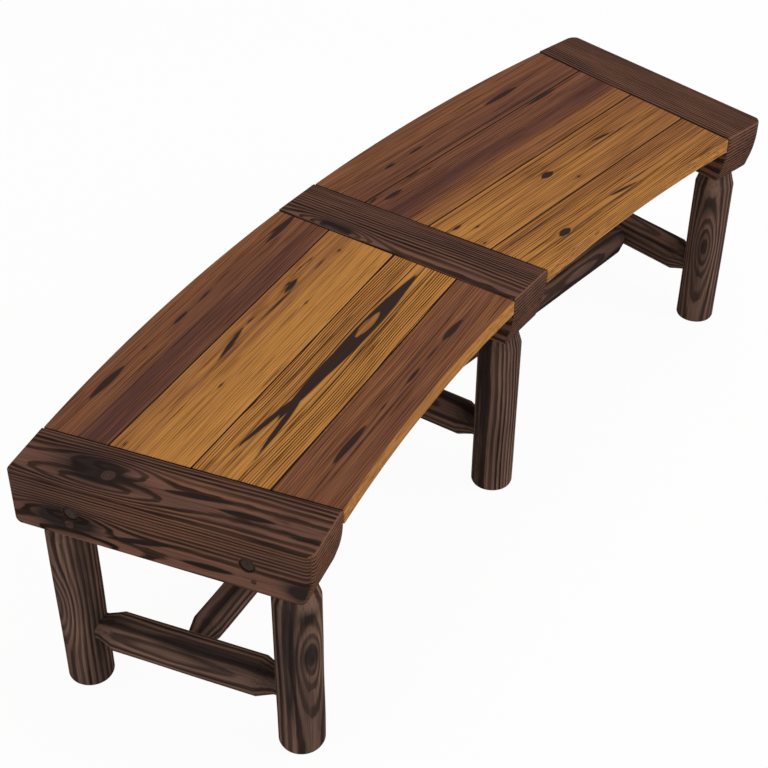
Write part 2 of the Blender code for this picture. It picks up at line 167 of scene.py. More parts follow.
def eased_corner(before, corner, after, ease):
    """An arc that starts and ends at the distance ease from a corner."""
    to_before = (before - corner) / np.linalg.norm(before - corner)
    to_after = (after - corner) / np.linalg.norm(after - corner)
    bisector = to_before + to_after
    width = np.linalg.norm(bisector)
    centre = corner + bisector / width * ease * 2 / width
    start = corner + to_before * ease - centre
    end = corner + to_after * ease - centre
    turn = math.acos(start @ end / (start @ start))
    share = np.linspace(0, 1, 2 * HALF_ARC_STEPS + 1)[:, None]
    return centre + (np.sin((1 - share) * turn) * start + np.sin(share * turn) * end) / math.sin(turn)


print(f"an eased corner takes {2 * HALF_ARC_STEPS} steps")

# %% [markdown]
# An outline is what the saw follows: its corners, how much each is eased, and the points that a bent side
# passes on its way. To ease the edge of a face, the outline is needed again, a little smaller. Scaling it
# would move its ends more than its sides, so each of its edges is moved in by the same step.

# %% Draw an outline
def outward(loop):
    """At each point of a loop, the step that moves both neighbouring edges out by one."""
    edges = np.roll(loop, -1, axis=0) - loop
    normals = np.column_stack([edges[:, 1], -edges[:, 0]]) / np.linalg.norm(edges, axis=1)[:, None]
    before = np.roll(normals, 1, axis=0)
    return (normals + before) / (1 + (normals * before).sum(axis=1))[:, None]


def four_sides(outline, inset):
    """Four sides of an outline, each from the middle of one eased corner to the middle of the next.

    An outline is its corners, the ease of each one, the points that each side passes on its way, and the
    steps of its long sides and of its ends. All of it can be moved in by an inset.
    """
    corners, eases, ways, counts = outline
    path, starts = [], []
    for corner, way in zip(corners, ways):
        starts.append(len(path))
        path += [corner, *way]
    path = np.array(path, float)
    path = path - outward(path) * inset
    arcs = []
    for start, ease in zip(starts, eases):
        after = path[(start + 1) % len(path)]
        arcs.append(eased_corner(path[start - 1], path[start], after, max(ease - inset, SMALLEST_EASE)))
    sides = []
    for i, (start, stop) in enumerate(zip(starts, [*starts[1:], len(path)])):
        first, last = arcs[i][HALF_ARC_STEPS:], arcs[(i + 1) % 4][: HALF_ARC_STEPS + 1]
        straight = np.concatenate([first[-1:], path[start + 1 : stop], last[:1]])
        sides.append(np.concatenate([first[:-1], resampled(straight, counts[i % 2]), last[1:]]))
    return sides


print("an outline has a near side, a right one, a far one and a left one")

# %% [markdown]
# A plane takes the sharp edge off a board, so its face turns into its wall in a small quarter round. In
# the mesh that is a stack of rings, each with a height and an inset. A Bevel modifier would round the
# edge too, but here each ring also says how worn it is, so that rubbed edges can be paler.

# %% Stack the rings of a wall
EASE_STEPS = 4


def eased_levels(low, high, ease, step):
    """Rows of (height, inset from the outline, edge wear) from one face of a panel to the other."""
    turns = np.linspace(0, math.pi / 2, EASE_STEPS + 1)
    edge = [(ease * (1 - math.cos(a)), ease * (1 - math.sin(a)), math.sin(2 * a)) for a in turns]
    wall = np.linspace(low + ease, high - ease, max(2, round((high - low - 2 * ease) / step)) + 1)
    rows = [(low + rise, inset, worn) for rise, inset, worn in edge]
    rows += [(height, 0.0, 0.0) for height in wall[1:-1]]
    rows += [(high - rise, inset, worn) for rise, inset, worn in reversed(edge)]
    return rows


def wall_quads(rows, around):
    """The faces between neighbouring rings of a stack."""
    here = np.arange(around)
    following = np.roll(here, -1)
    quads = []
    for start in range(0, (rows - 1) * around, around):
        above = start + around
        quads.append(np.column_stack([start + here, start + following, above + following, above + here]))
    return np.concatenate(quads)


print(f"an eased edge turns in {EASE_STEPS} steps")

# %% [markdown]
# Over both faces of a panel lies a grid that follows its four borders, straight or bent. One large face
# would close the stack too, but it would have no vertices to carry the figure of the wood.

# %% Fill the faces
def face_grid(loop, long_steps, end_steps):
    """A grid of points that follows the four sides of a loop."""
    corner = [0, long_steps, long_steps + end_steps, 2 * long_steps + end_steps]
    closed = np.concatenate([loop, loop[:1]])
    near, far = closed[: corner[1] + 1], closed[corner[2] : corner[3] + 1][::-1]
    right, left = closed[corner[1] : corner[2] + 1], closed[corner[3] :][::-1]
    s = np.linspace(0, 1, long_steps + 1)[None, :, None]
    t = np.linspace(0, 1, end_steps + 1)[:, None, None]
    ruled = (1 - t) * near[None] + t * far[None] + (1 - s) * left[:, None] + s * right[:, None]
    bent = (1 - s) * (1 - t) * near[0] + s * (1 - t) * near[-1] + (1 - s) * t * far[0] + s * t * far[-1]
    return ruled - bent


def grid_numbers(border, first_inside, long_steps, end_steps):
    """The vertex numbers of a face grid: its border is a ring of the stack, its inside is counted on."""
    numbers = np.zeros((end_steps + 1, long_steps + 1), int)
    numbers[0, :] = border[: long_steps + 1]
    numbers[:, -1] = border[long_steps : long_steps + end_steps + 1]
    numbers[-1, ::-1] = border[long_steps + end_steps : 2 * long_steps + end_steps + 1]
    numbers[1:, 0] = border[2 * long_steps + end_steps :][::-1]
    inside = numbers[1:-1, 1:-1]
    inside[:] = first_inside + np.arange(inside.size).reshape(inside.shape)
    return numbers


print("a face grid shares its border with the last ring of the wall")

# %% [markdown]
# Now a whole panel can be made in one call: the rings of its wall, then the two face grids. bmesh could
# do this vertex by vertex, but these meshes are large, and whole arrays are much faster. A number for the
# wear of its edges is kept on each vertex, as a named attribute that the finish will read.

# %% Build a panel
LYING, ON_EDGE = (0, 1, 2), (2, 0, 1)


def store(mesh, name, values):
    """Keeps a number for each vertex, for the finish to read."""
    kept = mesh.attributes.get(name) or mesh.attributes.new(name, "FLOAT", "POINT")
    kept.data.foreach_set("value", np.ascontiguousarray(values, np.float32))


def new_mesh(name, points, faces, wear):
    mesh = bpy.data.meshes.new(name)
    mesh.from_pydata(points.tolist(), [], faces)
    store(mesh, "wear", wear)
    return mesh


def panel(name, outline, levels, order):
    """A closed mesh of a panel. order says which of (along, up the outline, thickness) each axis takes."""
    points, wear = [], []
    for height, inset, worn in levels:
        sides = four_sides(outline, inset)
        ring = np.concatenate([side[:-1] for side in sides])
        points.append(np.column_stack([ring, np.full(len(ring), height)]))
        wear.append(np.full(len(ring), worn))
    around, long_steps, end_steps = len(ring), len(sides[0]) - 1, len(sides[1]) - 1
    faces = [wall_quads(len(levels), around)]
    count = len(levels) * around
    for row, turned_over in ((0, True), (len(levels) - 1, False)):
        ids = grid_numbers(row * around + np.arange(around), count, long_steps, end_steps)
        patch = face_grid(points[row][:, :2], long_steps, end_steps)[1:-1, 1:-1].reshape(-1, 2)
        points.append(np.column_stack([patch, np.full(len(patch), levels[row][0])]))
        wear.append(np.zeros(len(patch)))
        count += len(patch)
        quads = np.stack([ids[:-1, :-1], ids[:-1, 1:], ids[1:, 1:], ids[1:, :-1]], axis=-1).reshape(-1, 4)
        faces.append(quads[:, ::-1] if turned_over else quads)
    ordered = np.concatenate(points)[:, list(order)]
    return new_mesh(name, ordered, np.concatenate(faces).tolist(), np.concatenate(wear))


print(f"axes of a lying panel {LYING}, of one on its edge {ON_EDGE}")

# %% [markdown]
# Legs and stretchers are logs turned on an axis, and so are bolts, nuts and screws. A Screw modifier
# would spin a profile evenly, but a peeled log is never quite round, a nut has six flats and a thread
# runs up in a spiral. So the spinning is done here, with a radius and a height for every row and every
# angle.

# %% Spin a profile
X_AXIS, Y_AXIS, Z_AXIS = range(3)


def round_angles(sides):
    return np.arange(sides) * 2 * math.pi / sides


def all_round(values, sides):
    """Rows of values, each the same at every angle."""
    return np.repeat(np.array(values, float)[:, None], sides, axis=1)


def spin(name, heights, radii, axis):
    """A closed mesh from rows of heights and radii, one column for each angle, about X, Y or Z."""
    rows, sides = radii.shape
    angles = round_angles(sides)
    ring = np.stack([radii * np.cos(angles), radii * np.sin(angles), heights], axis=-1).reshape(-1, 3)
    ends = np.array([[0, 0, heights[0].mean()], [0, 0, heights[-1].mean()]])
    points = np.roll(np.concatenate([ring, ends]), axis + 1, axis=1)
    here = np.arange(sides)
    following = np.roll(here, -1)
    first, last = rows * sides, rows * sides + 1
    top = (rows - 1) * sides
    faces = wall_quads(rows, sides).tolist()
    faces += np.column_stack([np.full(sides, first), following, here]).tolist()
    faces += np.column_stack([np.full(sides, last), top + here, top + following]).tolist()
    return new_mesh(name, points, faces, np.zeros(len(points)))


print("six sides stand at", [round(math.degrees(angle)) for angle in round_angles(6)], "degrees")

# %% [markdown]
# Holes are bored with tools that have the shape of the hole, as with a drill bit. Each tool is itself a
# spun profile, so a stepped bit for a sunk bolt head is one more row. All the tools of a piece are joined
# and taken away by one Boolean modifier, which is applied at once, so that the mesh holds the clean hole.

# %% Bore holes
BORE_SIDES = 48
FIT, CUT_PAST = 0.3 * MM, 10 * MM


def bore_tool(profile, place, axis):
    """A turned cutter at a place: profile rows are (height, radius)."""
    heights, radii = zip(*profile)
    mesh = spin("bore", all_round(heights, BORE_SIDES), all_round(radii, BORE_SIDES), axis)
    mesh.transform(place)
    return mesh


def straight_bore(start, end, radius):
    return [(start, radius), (end, radius)]


def bored(mesh, tools):
    """The mesh with the room of the tools taken out of it."""
    joined = bpy.data.meshes.new("tools")
    points, faces = [], []
    for tool in tools:
        start = len(points)
        points += [vertex.co.copy() for vertex in tool.vertices]
        faces += [[start + number for number in polygon.vertices] for polygon in tool.polygons]
        bpy.data.meshes.remove(tool)
    joined.from_pydata(points, [], faces)
    body = bpy.data.objects.new("bored_piece", mesh)
    cutter = bpy.data.objects.new("boring_tools", joined)
    scene.collection.objects.link(body)
    scene.collection.objects.link(cutter)
    body.modifiers.new("bore", "BOOLEAN").object = cutter
    graph = bpy.context.evaluated_depsgraph_get()
    result = bpy.data.meshes.new_from_object(body.evaluated_get(graph))
    bpy.data.objects.remove(body)
    bpy.data.objects.remove(cutter)
    bpy.data.meshes.remove(mesh)
    bpy.data.meshes.remove(joined)
    return result


print(f"sockets are bored {FIT / MM:.1f} mm wider all round than their tenons")

# %% [markdown]
# Wood figure is a slice through a tree: each year leaves one dark line, and a saw cut shows the lines as
# stripes, flames and ovals. Blender's Wave and Noise textures give stripes, but no knot where it is
# wanted. So each face gets a map of years, read like the height lines of a hill map: a valley runs along
# the face over the heart of the tree, and a few hills and hollows bend its lines into ovals, as a branch
# does. Each vertex keeps its year, and its rate, the years that pass in a millimetre, so that lines can
# stay crisp.

# %% Map the years on a face
WAVE_COUNT = 6
EVEN_LINES = 500.0


def waves(grain, seed, lengths):
    """A smooth random swell between about -1 and 1, with typical lengths in millimetres along each axis."""
    random = np.random.default_rng(seed)
    total = np.zeros(len(grain))
    for _ in range(WAVE_COUNT):
        way = random.normal(size=3)
        way *= 2 * math.pi / np.linalg.norm(way) / np.array(lengths)
        total += np.sin(grain @ way + random.uniform(0, 2 * math.pi))
    return total / math.sqrt(WAVE_COUNT)


def hump(along, across, spot):
    """A soft bump on a face, 1 at its middle. A spot is (along, across, reach along, reach across)."""
    middle_along, middle_across, reach_along, reach_across = spot
    lengthwise, sideways = (along - middle_along) / reach_along, (across - middle_across) / reach_across
    return np.exp(-(lengthwise**2) - sideways**2)


def sawn_years(along, across, face):
    """The year at each point of a face, in millimetres. A dark line lies at each half year.

    heart is (across at the valley, how wide it is, the year in it). Past the distance straight from the
    heart the lines keep one spacing. hills are spots with the years that each of them adds.
    """
    middle, bend, first = face["heart"]
    straight = face.get("straight", EVEN_LINES)
    away = np.abs(across - middle)
    years = first + np.where(away < straight, away**2, 2 * away * straight - straight**2) / bend
    for *spot, height in face.get("hills", ()):
        years = years + height * hump(along, across, spot)
    return years


def years_and_rate(field, along, across):
    """The years of a map, and how many of them pass in a millimetre."""
    years = field(along, across)
    return years, np.hypot(field(along + 1, across) - years, field(along, across + 1) - years)


print("one year for every vertex, one dark line for every year")

# %% [markdown]
# Three more marks lie over the lines. A knot is a branch cut across, a black streak is a pocket of resin,
# and a scorch is a place where the flame stayed longer. Each could be painted by hand in Blender's vertex
# paint, but a few numbers for each mark can be read, moved and repeated. A face is a small dictionary of
# such marks.

# %% Mark knots, streaks and scorches
NO_KNOT, NO_STREAK = 9.0, -40.0
TAIL_WIDTH, TAIL_REACH = 0.5, 1.6


def knot_field(along, across, knots):
    """Distance from the nearest knot's middle, in knot radii. A knot is (along, across, radius)."""
    nearest = np.full(len(along), NO_KNOT)
    for knot_along, knot_across, radius in knots:
        nearest = np.minimum(nearest, np.hypot(along - knot_along, across - knot_across) / radius)
    return nearest


def streak_field(along, across, streaks):
    """How deep inside a black streak a point lies, in millimetres. Outside it is below zero.

    A streak is (start, end, across at its middle, half width, climb from start to end, where it is fattest).
    A thin tail runs on past both of its points.
    """
    depth = np.full(len(along), NO_STREAK)
    for start, end, level, half_width, climb, fattest in streaks:
        share = (along - (start + end) / 2) / ((end - start) / 2)
        width = half_width * (1 - share**2) * (1 + fattest * np.clip(share, -1, 1))
        width = np.maximum(width, TAIL_WIDTH * (1 - (share / TAIL_REACH) ** 2))
        depth = np.maximum(depth, width - np.abs(across - level - climb * share / 2))
    return depth


def face_numbers(along, across, face):
    """All that the finish needs to know about a face, from its marks. A scorch is a spot and its tone."""
    years, rate = years_and_rate(lambda a, b: sawn_years(a, b, face), along, across)
    scorch = np.zeros(len(along))
    for *spot, amount in face.get("scorch", ()):
        scorch += amount * hump(along, across, spot)
    return {
        "years": years,
        "rate": rate,
        "tone": scorch,
        "knot": knot_field(along, across, face.get("knots", ())),
        "streak": streak_field(along, across, face.get("streaks", ())),
    }


print("a face is marked with hearts, hills, knots, streaks and scorches")

# %% [markdown]
# A finish here is a network of shader nodes. Blender's node editor is the place to explore one by hand,
# but a script can be read and repeated. So two helpers make nodes short to write: one adds a node and
# sets or links its inputs, the other does a sum. Colours are picked on the screen, and turned into light
# here.

# %% Add a shader node
def linear(value):
    """The standard curve from a value on the screen to an amount of light, both from 0 to 1."""
    return value / 12.92 if value <= 0.04045 else ((value + 0.055) / 1.055) ** 2.4


def paint(red, green, blue):
    """A colour picked on the screen, from 0 to 255, as the shader's linear colour."""
    return (*(linear(value / 255) for value in (red, green, blue)), 1.0)


def add_node(tree, kind, inputs=None, **settings):
    node = tree.nodes.new(kind)
    for name, value in settings.items():
        setattr(node, name, value)
    for name, value in (inputs or {}).items():
        if isinstance(value, bpy.types.NodeSocket):
            tree.links.new(value, node.inputs[name])
        else:
            node.inputs[name].default_value = value
    return node


def calc(tree, operation, *values):
    node = add_node(tree, "ShaderNodeMath", dict(enumerate(values)), operation=operation)
    return node.outputs[0]


print("a mid brown on the screen is", [round(value, 3) for value in paint(119, 77, 57)[:3]], "to the shader")

# %% [markdown]
# Wood needs the same few steps again and again: a smooth step between two values, a mix of two colours, a
# ramp from pale to dark, a number kept on the vertices, and noise that is drawn out along the grain. A
# node group could hold each of them, but a short function reads more plainly.

# %% Wrap the nodes that wood needs most
NOISE_ROUGHNESS = 0.55


def remap(tree, value, start, end, low=0.0, high=1.0):
    inputs = {"Value": value, "From Min": start, "From Max": end, "To Min": low, "To Max": high}
    return add_node(tree, "ShaderNodeMapRange", inputs, interpolation_type="SMOOTHSTEP").outputs[0]


def tint(tree, amount, first, second, mode="MIX"):
    """A mix of two colours: the Mix node keeps them in its inputs 6 and 7 and its output 2."""
    inputs = {0: amount, 6: first, 7: second}
    return add_node(tree, "ShaderNodeMix", inputs, data_type="RGBA", blend_type=mode).outputs[2]


def ramp(tree, value, stops):
    node = add_node(tree, "ShaderNodeValToRGB", {"Fac": value})
    elements = node.color_ramp.elements
    while len(elements) < len(stops):
        elements.new(1.0)
    for element, (position, colour) in zip(elements, stops):
        element.position = position
        element.color = colour
    return node.outputs[0]


def stored(tree, name, output="Fac"):
    return add_node(tree, "ShaderNodeAttribute", attribute_name=name).outputs[output]


def noise(tree, place, stretch, detail=3.0):
    """Noise between 0 and 1 whose grains are one metre over stretch long on each axis."""
    mapped = add_node(tree, "ShaderNodeMapping", {"Vector": place, "Scale": stretch}).outputs[0]
    inputs = {"Vector": mapped, "Scale": 1.0, "Detail": detail, "Roughness": NOISE_ROUGHNESS}
    return add_node(tree, "ShaderNodeTexNoise", inputs).outputs[0]


def varied(tree, base, grains, amount):
    """A base value that a noise moves up and down, by half the amount at most."""
    return calc(tree, "MULTIPLY_ADD", calc(tree, "SUBTRACT", grains, 0.5), amount, base)


print(f"every noise has a roughness of {NOISE_ROUGHNESS}")

# %% [markdown]
# Every finish starts and ends in the same way: an empty node tree at the start, a bump and a Principled
# surface at the end. Real displacement would need far more vertices for a relief of half a millimetre, so
# the bump only tilts the normal.

# %% Start and end a finish
def new_finish(name):
    material = bpy.data.materials.new(name)
    material.use_nodes = True
    tree = material.node_tree
    tree.nodes.clear()
    return material, tree


def finish_surface(tree, inputs, height, depth, strength):
    """The last nodes of every finish: a bump from a height between 0 and 1, and the surface itself."""
    bump_inputs = {"Height": height, "Distance": depth, "Strength": strength}
    inputs["Normal"] = add_node(tree, "ShaderNodeBump", bump_inputs).outputs[0]
    surface = add_node(tree, "ShaderNodeBsdfPrincipled", inputs)
    add_node(tree, "ShaderNodeOutputMaterial", {"Surface": surface.outputs[0]})


print("every finish ends in a bump and a Principled surface")

# %% [markdown]
# Between its lines, wood is never one colour: it varies in long streaks and in soft patches, and short
# dark dashes show where a pore was cut open. A single Noise texture would vary evenly in all directions.
# Here each noise is stretched along the grain, which the piece keeps on its vertices, so it follows the
# wood.

# %% Colour the ground of the wood
STREAKY_GRAINS, PORE_GRAINS = (4, 210, 210), (7, 520, 520)
PORE_EDGE = (0.6, 0.68)


def ground_colour(tree, place, recipe):
    tone = varied(tree, stored(tree, "tone"), noise(tree, place, STREAKY_GRAINS), recipe["streaky"])
    tone = varied(tree, tone, noise(tree, place, recipe["patches"]), recipe["patchy"])
    colour = ramp(tree, tone, recipe["ground"])
    pores = remap(tree, noise(tree, place, PORE_GRAINS, detail=1.0), *PORE_EDGE, 0.0, recipe["pores"])
    return tint(tree, pores, colour, recipe["late_wood"])


print(f"pores are about {1000 / PORE_GRAINS[1]:.0f} mm wide and {1000 / PORE_GRAINS[0]:.0f} mm long")

# %% [markdown]
# The dark lines are the late wood of each year. A tree lays it down slowly and stops at once in autumn,
# so a line darkens softly on one side and ends sharply on the other. The shader reads the year of each
# point and works out how far it lies from the half year. A Wave texture could draw such lines too, but
# not bend them round a knot. Each line also gets its own strength, because no two summers are alike.

# %% Draw a dark line for each year
SLOWEST_RATE = 0.03
WOBBLE_ACROSS, FADE_GRAINS = 110, (5, 60, 60)
LINE_RISE, LINE_FALL, FADE_EDGE = (-1.8, -0.4), (0.6, 1.15), (0.3, 0.6)


def line_profile(tree, years, recipe):
    """How dark a line is from one of its sides to the other."""
    share, thinnest, widest = recipe["line"]
    year_width = calc(tree, "DIVIDE", 1.0, calc(tree, "MAXIMUM", stored(tree, "rate"), SLOWEST_RATE))
    half = calc(tree, "MAXIMUM", calc(tree, "MULTIPLY", year_width, share / 2), thinnest)
    half = calc(tree, "MINIMUM", half, widest)
    away = calc(tree, "MULTIPLY", calc(tree, "SUBTRACT", calc(tree, "FRACT", years), 0.5), year_width)
    away = calc(tree, "DIVIDE", away, half)
    rise = remap(tree, away, *LINE_RISE)
    fall = remap(tree, away, *LINE_FALL, 1.0, 0.0)
    return calc(tree, "MULTIPLY", rise, fall)


def dark_lines(tree, place, recipe):
    wander, run = recipe["wander"]
    wobble = noise(tree, place, (run, WOBBLE_ACROSS, WOBBLE_ACROSS), detail=2.0)
    years = varied(tree, stored(tree, "years"), wobble, wander)
    year = calc(tree, "FLOOR", years)
    luck = add_node(tree, "ShaderNodeTexWhiteNoise", {"W": year}, noise_dimensions="1D").outputs["Value"]
    power = remap(tree, luck, 0.0, 1.0, *recipe["strength"])
    fade = remap(tree, noise(tree, place, FADE_GRAINS, detail=2.0), *FADE_EDGE, recipe["fades"], 1.0)
    power = calc(tree, "MULTIPLY", calc(tree, "MULTIPLY", power, fade), stored(tree, "lines"))
    return calc(tree, "MULTIPLY", line_profile(tree, years, recipe), power)


print(f"a year is drawn {1 / SLOWEST_RATE:.0f} mm wide at most")

# %% [markdown]
# Streaks and knots come last, as they cover the lines. A streak has a black core and a brown halo where
# the resin has soaked in. A knot shows fine rings of its own inside a black rim, which is the bark that
# the trunk has closed over. Smooth edges would look printed, so one ragged noise frays both of them.

# %% Lay streaks and knots over the lines
RAGGED_GRAINS = (30, 260, 260)
STREAK_FRAY, STREAK_EDGE = 1.6, (-0.8, 0.9)
HALO_EDGE, HALO_STRENGTH = (-3.5, 0.0), 0.3
KNOT_FRAY, CORE_EDGE = 0.35, (0.75, 0.95)
KNOT_RINGS, KNOT_TONE, KNOT_SWING = 26.0, 0.84, 0.12
RIM_RISE, RIM_FALL, RIM_STRENGTH = (0.7, 1.0), (1.1, 1.9), 0.85


def with_streaks(tree, ragged, colour, recipe):
    # On the planks the streak also carries the painted shade of the seam walls.
    streak = varied(tree, stored(tree, "streak"), ragged, STREAK_FRAY)
    halo = remap(tree, streak, *HALO_EDGE, 0.0, HALO_STRENGTH)
    colour = tint(tree, halo, colour, recipe["late_wood"])
    return tint(tree, remap(tree, streak, *STREAK_EDGE), colour, recipe["soot"])


def with_knots(tree, ragged, colour, recipe):
    knot = varied(tree, stored(tree, "knot"), ragged, KNOT_FRAY)
    rings = calc(tree, "SINE", calc(tree, "MULTIPLY", knot, KNOT_RINGS))
    tone = calc(tree, "MULTIPLY_ADD", rings, KNOT_SWING, KNOT_TONE)
    core = remap(tree, knot, *CORE_EDGE, 1.0, 0.0)
    colour = tint(tree, core, colour, ramp(tree, tone, recipe["ground"]))
    rim = calc(tree, "MULTIPLY", remap(tree, knot, *RIM_RISE), remap(tree, knot, *RIM_FALL, 1.0, 0.0))
    return tint(tree, calc(tree, "MULTIPLY", rim, RIM_STRENGTH), colour, recipe["soot"])


print(f"a knot shows {KNOT_RINGS / (2 * math.pi):.0f} rings inside its rim")

# %% [markdown]
# Hands and clothes rub the edges of a bench back to paler wood, and every fibre takes the light a little
# differently. On the free edges of the planks the rubbed band also paints the highlight of the rounded
# edge. Pointiness could find the edges, but it depends on the mesh, so the piece itself says where it is
# worn. With that the wood is complete: dark lines are a little smoother than the ground and, as the wire
# brush leaves them, a little higher.

# %% Put the wood finish together
FIBRE_GRAINS = (11, 600, 600)
RUBBED_EDGE, LEAST_RUBBED = (0.3, 0.7), 0.3
FIBRE_EDGE, FIBRE_SHADES = (0.25, 0.75), (0.82, 1.2)
LINE_POLISH, POLISH_EDGE, ROUGHNESSES = -0.4, (0.0, 0.8), (0.5, 0.72)
FIBRE_HEIGHT, LINE_HEIGHT, WOOD_BUMP = 0.35, 0.65, 0.6


def with_wear(tree, fibre, colour, recipe):
    rubbed = recipe["rubbed"]
    bare = remap(tree, fibre, *RUBBED_EDGE, LEAST_RUBBED * rubbed, rubbed)
    palest = recipe["ground"][0][1]
    # On the free edges of the planks this pale band is rubbed wear and also a painted highlight.
    colour = tint(tree, calc(tree, "MULTIPLY", stored(tree, "wear"), bare), colour, palest)
    shade = remap(tree, fibre, *FIBRE_EDGE, *FIBRE_SHADES)
    grey = add_node(tree, "ShaderNodeCombineColor", {"Red": shade, "Green": shade, "Blue": shade}).outputs[0]
    return tint(tree, 1.0, colour, grey, "MULTIPLY")


def wood_finish(name, recipe):
    material, tree = new_finish(name)
    place = stored(tree, "grain", "Vector")
    fibre = noise(tree, place, FIBRE_GRAINS, detail=2.0)
    ragged = noise(tree, place, RAGGED_GRAINS, detail=4.0)
    lines = dark_lines(tree, place, recipe)
    colour = tint(tree, lines, ground_colour(tree, place, recipe), recipe["late_wood"])
    colour = with_streaks(tree, ragged, colour, recipe)
    colour = with_knots(tree, ragged, colour, recipe)
    colour = with_wear(tree, fibre, colour, recipe)
    polish = calc(tree, "MULTIPLY_ADD", lines, LINE_POLISH, fibre)
    roughness = remap(tree, polish, *POLISH_EDGE, *ROUGHNESSES)
    height = calc(tree, "MULTIPLY_ADD", fibre, FIBRE_HEIGHT, calc(tree, "MULTIPLY", lines, LINE_HEIGHT))
    inputs = {"Base Color": colour, "Roughness": roughness, "Specular IOR Level": recipe["sheen"]}
    finish_surface(tree, inputs, height, recipe["relief"], WOOD_BUMP)
    return material


print(f"wood is between {ROUGHNESSES[0]} and {ROUGHNESSES[1]} rough")

# %% [markdown]
# The beams, legs and stretchers are charred fir: the flame eats the soft early wood and blackens the hard
# late wood, and a wire brush clears the soot. Each piece could have a network of its own, but only
# colours, the width of the dark lines and their strength differ. So each wood is a recipe, and a later
# one says only what is new in it. A line is (share of a year that is dark, thinnest and widest half line
# in millimetres), and wander is (how many years a line strays, how often it does so in a metre).

# %% Write the charred recipes
CHARRED_BEAM = {
    "ground": ((0.0, paint(121, 84, 67)), (0.45, paint(102, 73, 63)), (1.0, paint(46, 39, 38))),
    "late_wood": paint(36, 27, 23),
    "soot": paint(43, 34, 32),
    "line": (0.62, 0.9, 4.5),
    "strength": (0.8, 1.0),
    "fades": 0.7,
    "wander": (0.4, 22),
    "patches": (2.5, 22, 22),
    "patchy": 0.5,
    "streaky": 0.55,
    "pores": 0.3,
    "rubbed": 0.8,
    "sheen": 0.0,
    "relief": 0.6 * MM,
}
CHARRED_LOG = {
    **CHARRED_BEAM,
    "ground": ((0.0, paint(130, 101, 86)), (0.45, paint(104, 81, 71)), (1.0, paint(52, 44, 42))),
    "late_wood": paint(42, 33, 31),
    "line": (0.52, 1.0, 6.0),
    "strength": (0.75, 1.0),
    "fades": 0.75,
    "wander": (0.4, 14),
    "patches": (9, 34, 34),
    "patchy": 0.8,
    "rubbed": 0.3,
}
print(len(CHARRED_BEAM), "entries in a recipe")

# %% [markdown]
# The seats are the same wood without the flame, oiled, from honey sapwood to red brown heartwood. Their
# lines are finer and more of their pores show. The cleats under them are bare softwood, paler still. The
# charred recipe could be changed in place, but then the beams would change with it, so each one is new.

# %% Write the oiled and the bare recipe, and mix the woods
OILED_SEAT = {
    **CHARRED_BEAM,
    "ground": (
        (0.0, paint(184, 127, 65)),
        (0.33, paint(152, 101, 59)),
        (0.66, paint(119, 77, 57)),
        (1.0, paint(86, 56, 51)),
    ),
    "late_wood": paint(68, 32, 12),
    # On the seats this black also paints the shade in the seam walls.
    "soot": paint(52, 37, 34),
    "line": (0.36, 0.5, 1.2),
    "strength": (0.25, 1.0),
    "fades": 0.6,
    "wander": (0.5, 3),
    "patchy": 0.45,
    "streaky": 0.8,
    "pores": 0.75,
    # On the free edges, the rubbed band also paints the highlight of the rounded edge.
    "rubbed": 0.5,
    "sheen": 0.03,
    "relief": 0.25 * MM,
}
BARE_CLEAT = {
    **OILED_SEAT,
    "ground": ((0.0, paint(206, 168, 118)), (0.5, paint(188, 146, 96)), (1.0, paint(150, 108, 66))),
    "late_wood": paint(128, 84, 48),
    "soot": paint(70, 48, 34),
    "strength": (0.15, 0.7),
    "pores": 0.2,
    "rubbed": 0.3,
    "sheen": 0.1,
}
WOODS = {
    "charred_beam": CHARRED_BEAM,
    "charred_log": CHARRED_LOG,
    "charred_rail": CHARRED_LOG,
    "brown_plank": OILED_SEAT,
    "honey_plank": OILED_SEAT,
    "cleat_softwood": BARE_CLEAT,
}
finishes = {slot: wood_finish(slot, recipe) for slot, recipe in WOODS.items()}
print("wood finishes:", ", ".join(finishes))

# %% [markdown]
# The bolts, nuts and screws are steel. Bolts and nuts are blackened: a thin dark oxide that is rubbed a
# little paler in places. The screws are zinc plated, a pale and slightly yellow skin. A plain metal
# colour would look like plastic here, so noise varies the tone and the roughness over both.

# %% Mix the steel finishes
MOTTLE_GRAINS, SCRATCH_GRAINS = (160, 160, 160), (40, 1800, 1800)
SCRATCH_SHARE, BRIGHT_EDGE, WORN_BRIGHT = 0.35, (0.55, 0.85), 0.7
MOTTLE_EDGE, STEEL_SHEEN = (0.25, 0.75), 0.15
SCRATCH_DEPTH, SCRATCH_BUMP = 0.05 * MM, 0.3


def steel_finish(name, dull, bright, roughnesses, metallic):
    material, tree = new_finish(name)
    place = stored(tree, "grain", "Vector")
    mottle = noise(tree, place, MOTTLE_GRAINS, detail=5.0)
    scratch = noise(tree, place, SCRATCH_GRAINS, detail=2.0)
    rubbed = remap(tree, calc(tree, "MULTIPLY_ADD", scratch, SCRATCH_SHARE, mottle), *BRIGHT_EDGE)
    rubbed = calc(tree, "MAXIMUM", rubbed, calc(tree, "MULTIPLY", stored(tree, "wear"), WORN_BRIGHT))
    inputs = {
        "Base Color": tint(tree, rubbed, dull, bright),
        "Roughness": remap(tree, mottle, *MOTTLE_EDGE, *roughnesses),
        "Metallic": metallic,
        "Specular IOR Level": STEEL_SHEEN,
    }
    finish_surface(tree, inputs, scratch, SCRATCH_DEPTH, SCRATCH_BUMP)
    return material


BLACKENED, RUBBED_BLACK = paint(48, 38, 34), paint(64, 51, 45)
ZINC, BRIGHT_ZINC = paint(176, 168, 142), paint(222, 216, 200)
finishes["blackened_steel"] = steel_finish("blackened_steel", BLACKENED, RUBBED_BLACK, (0.75, 0.9), 0.1)
finishes["zinc_steel"] = steel_finish("zinc_steel", ZINC, BRIGHT_ZINC, (0.25, 0.45), 1.0)
print(len(finishes), "finishes in all")

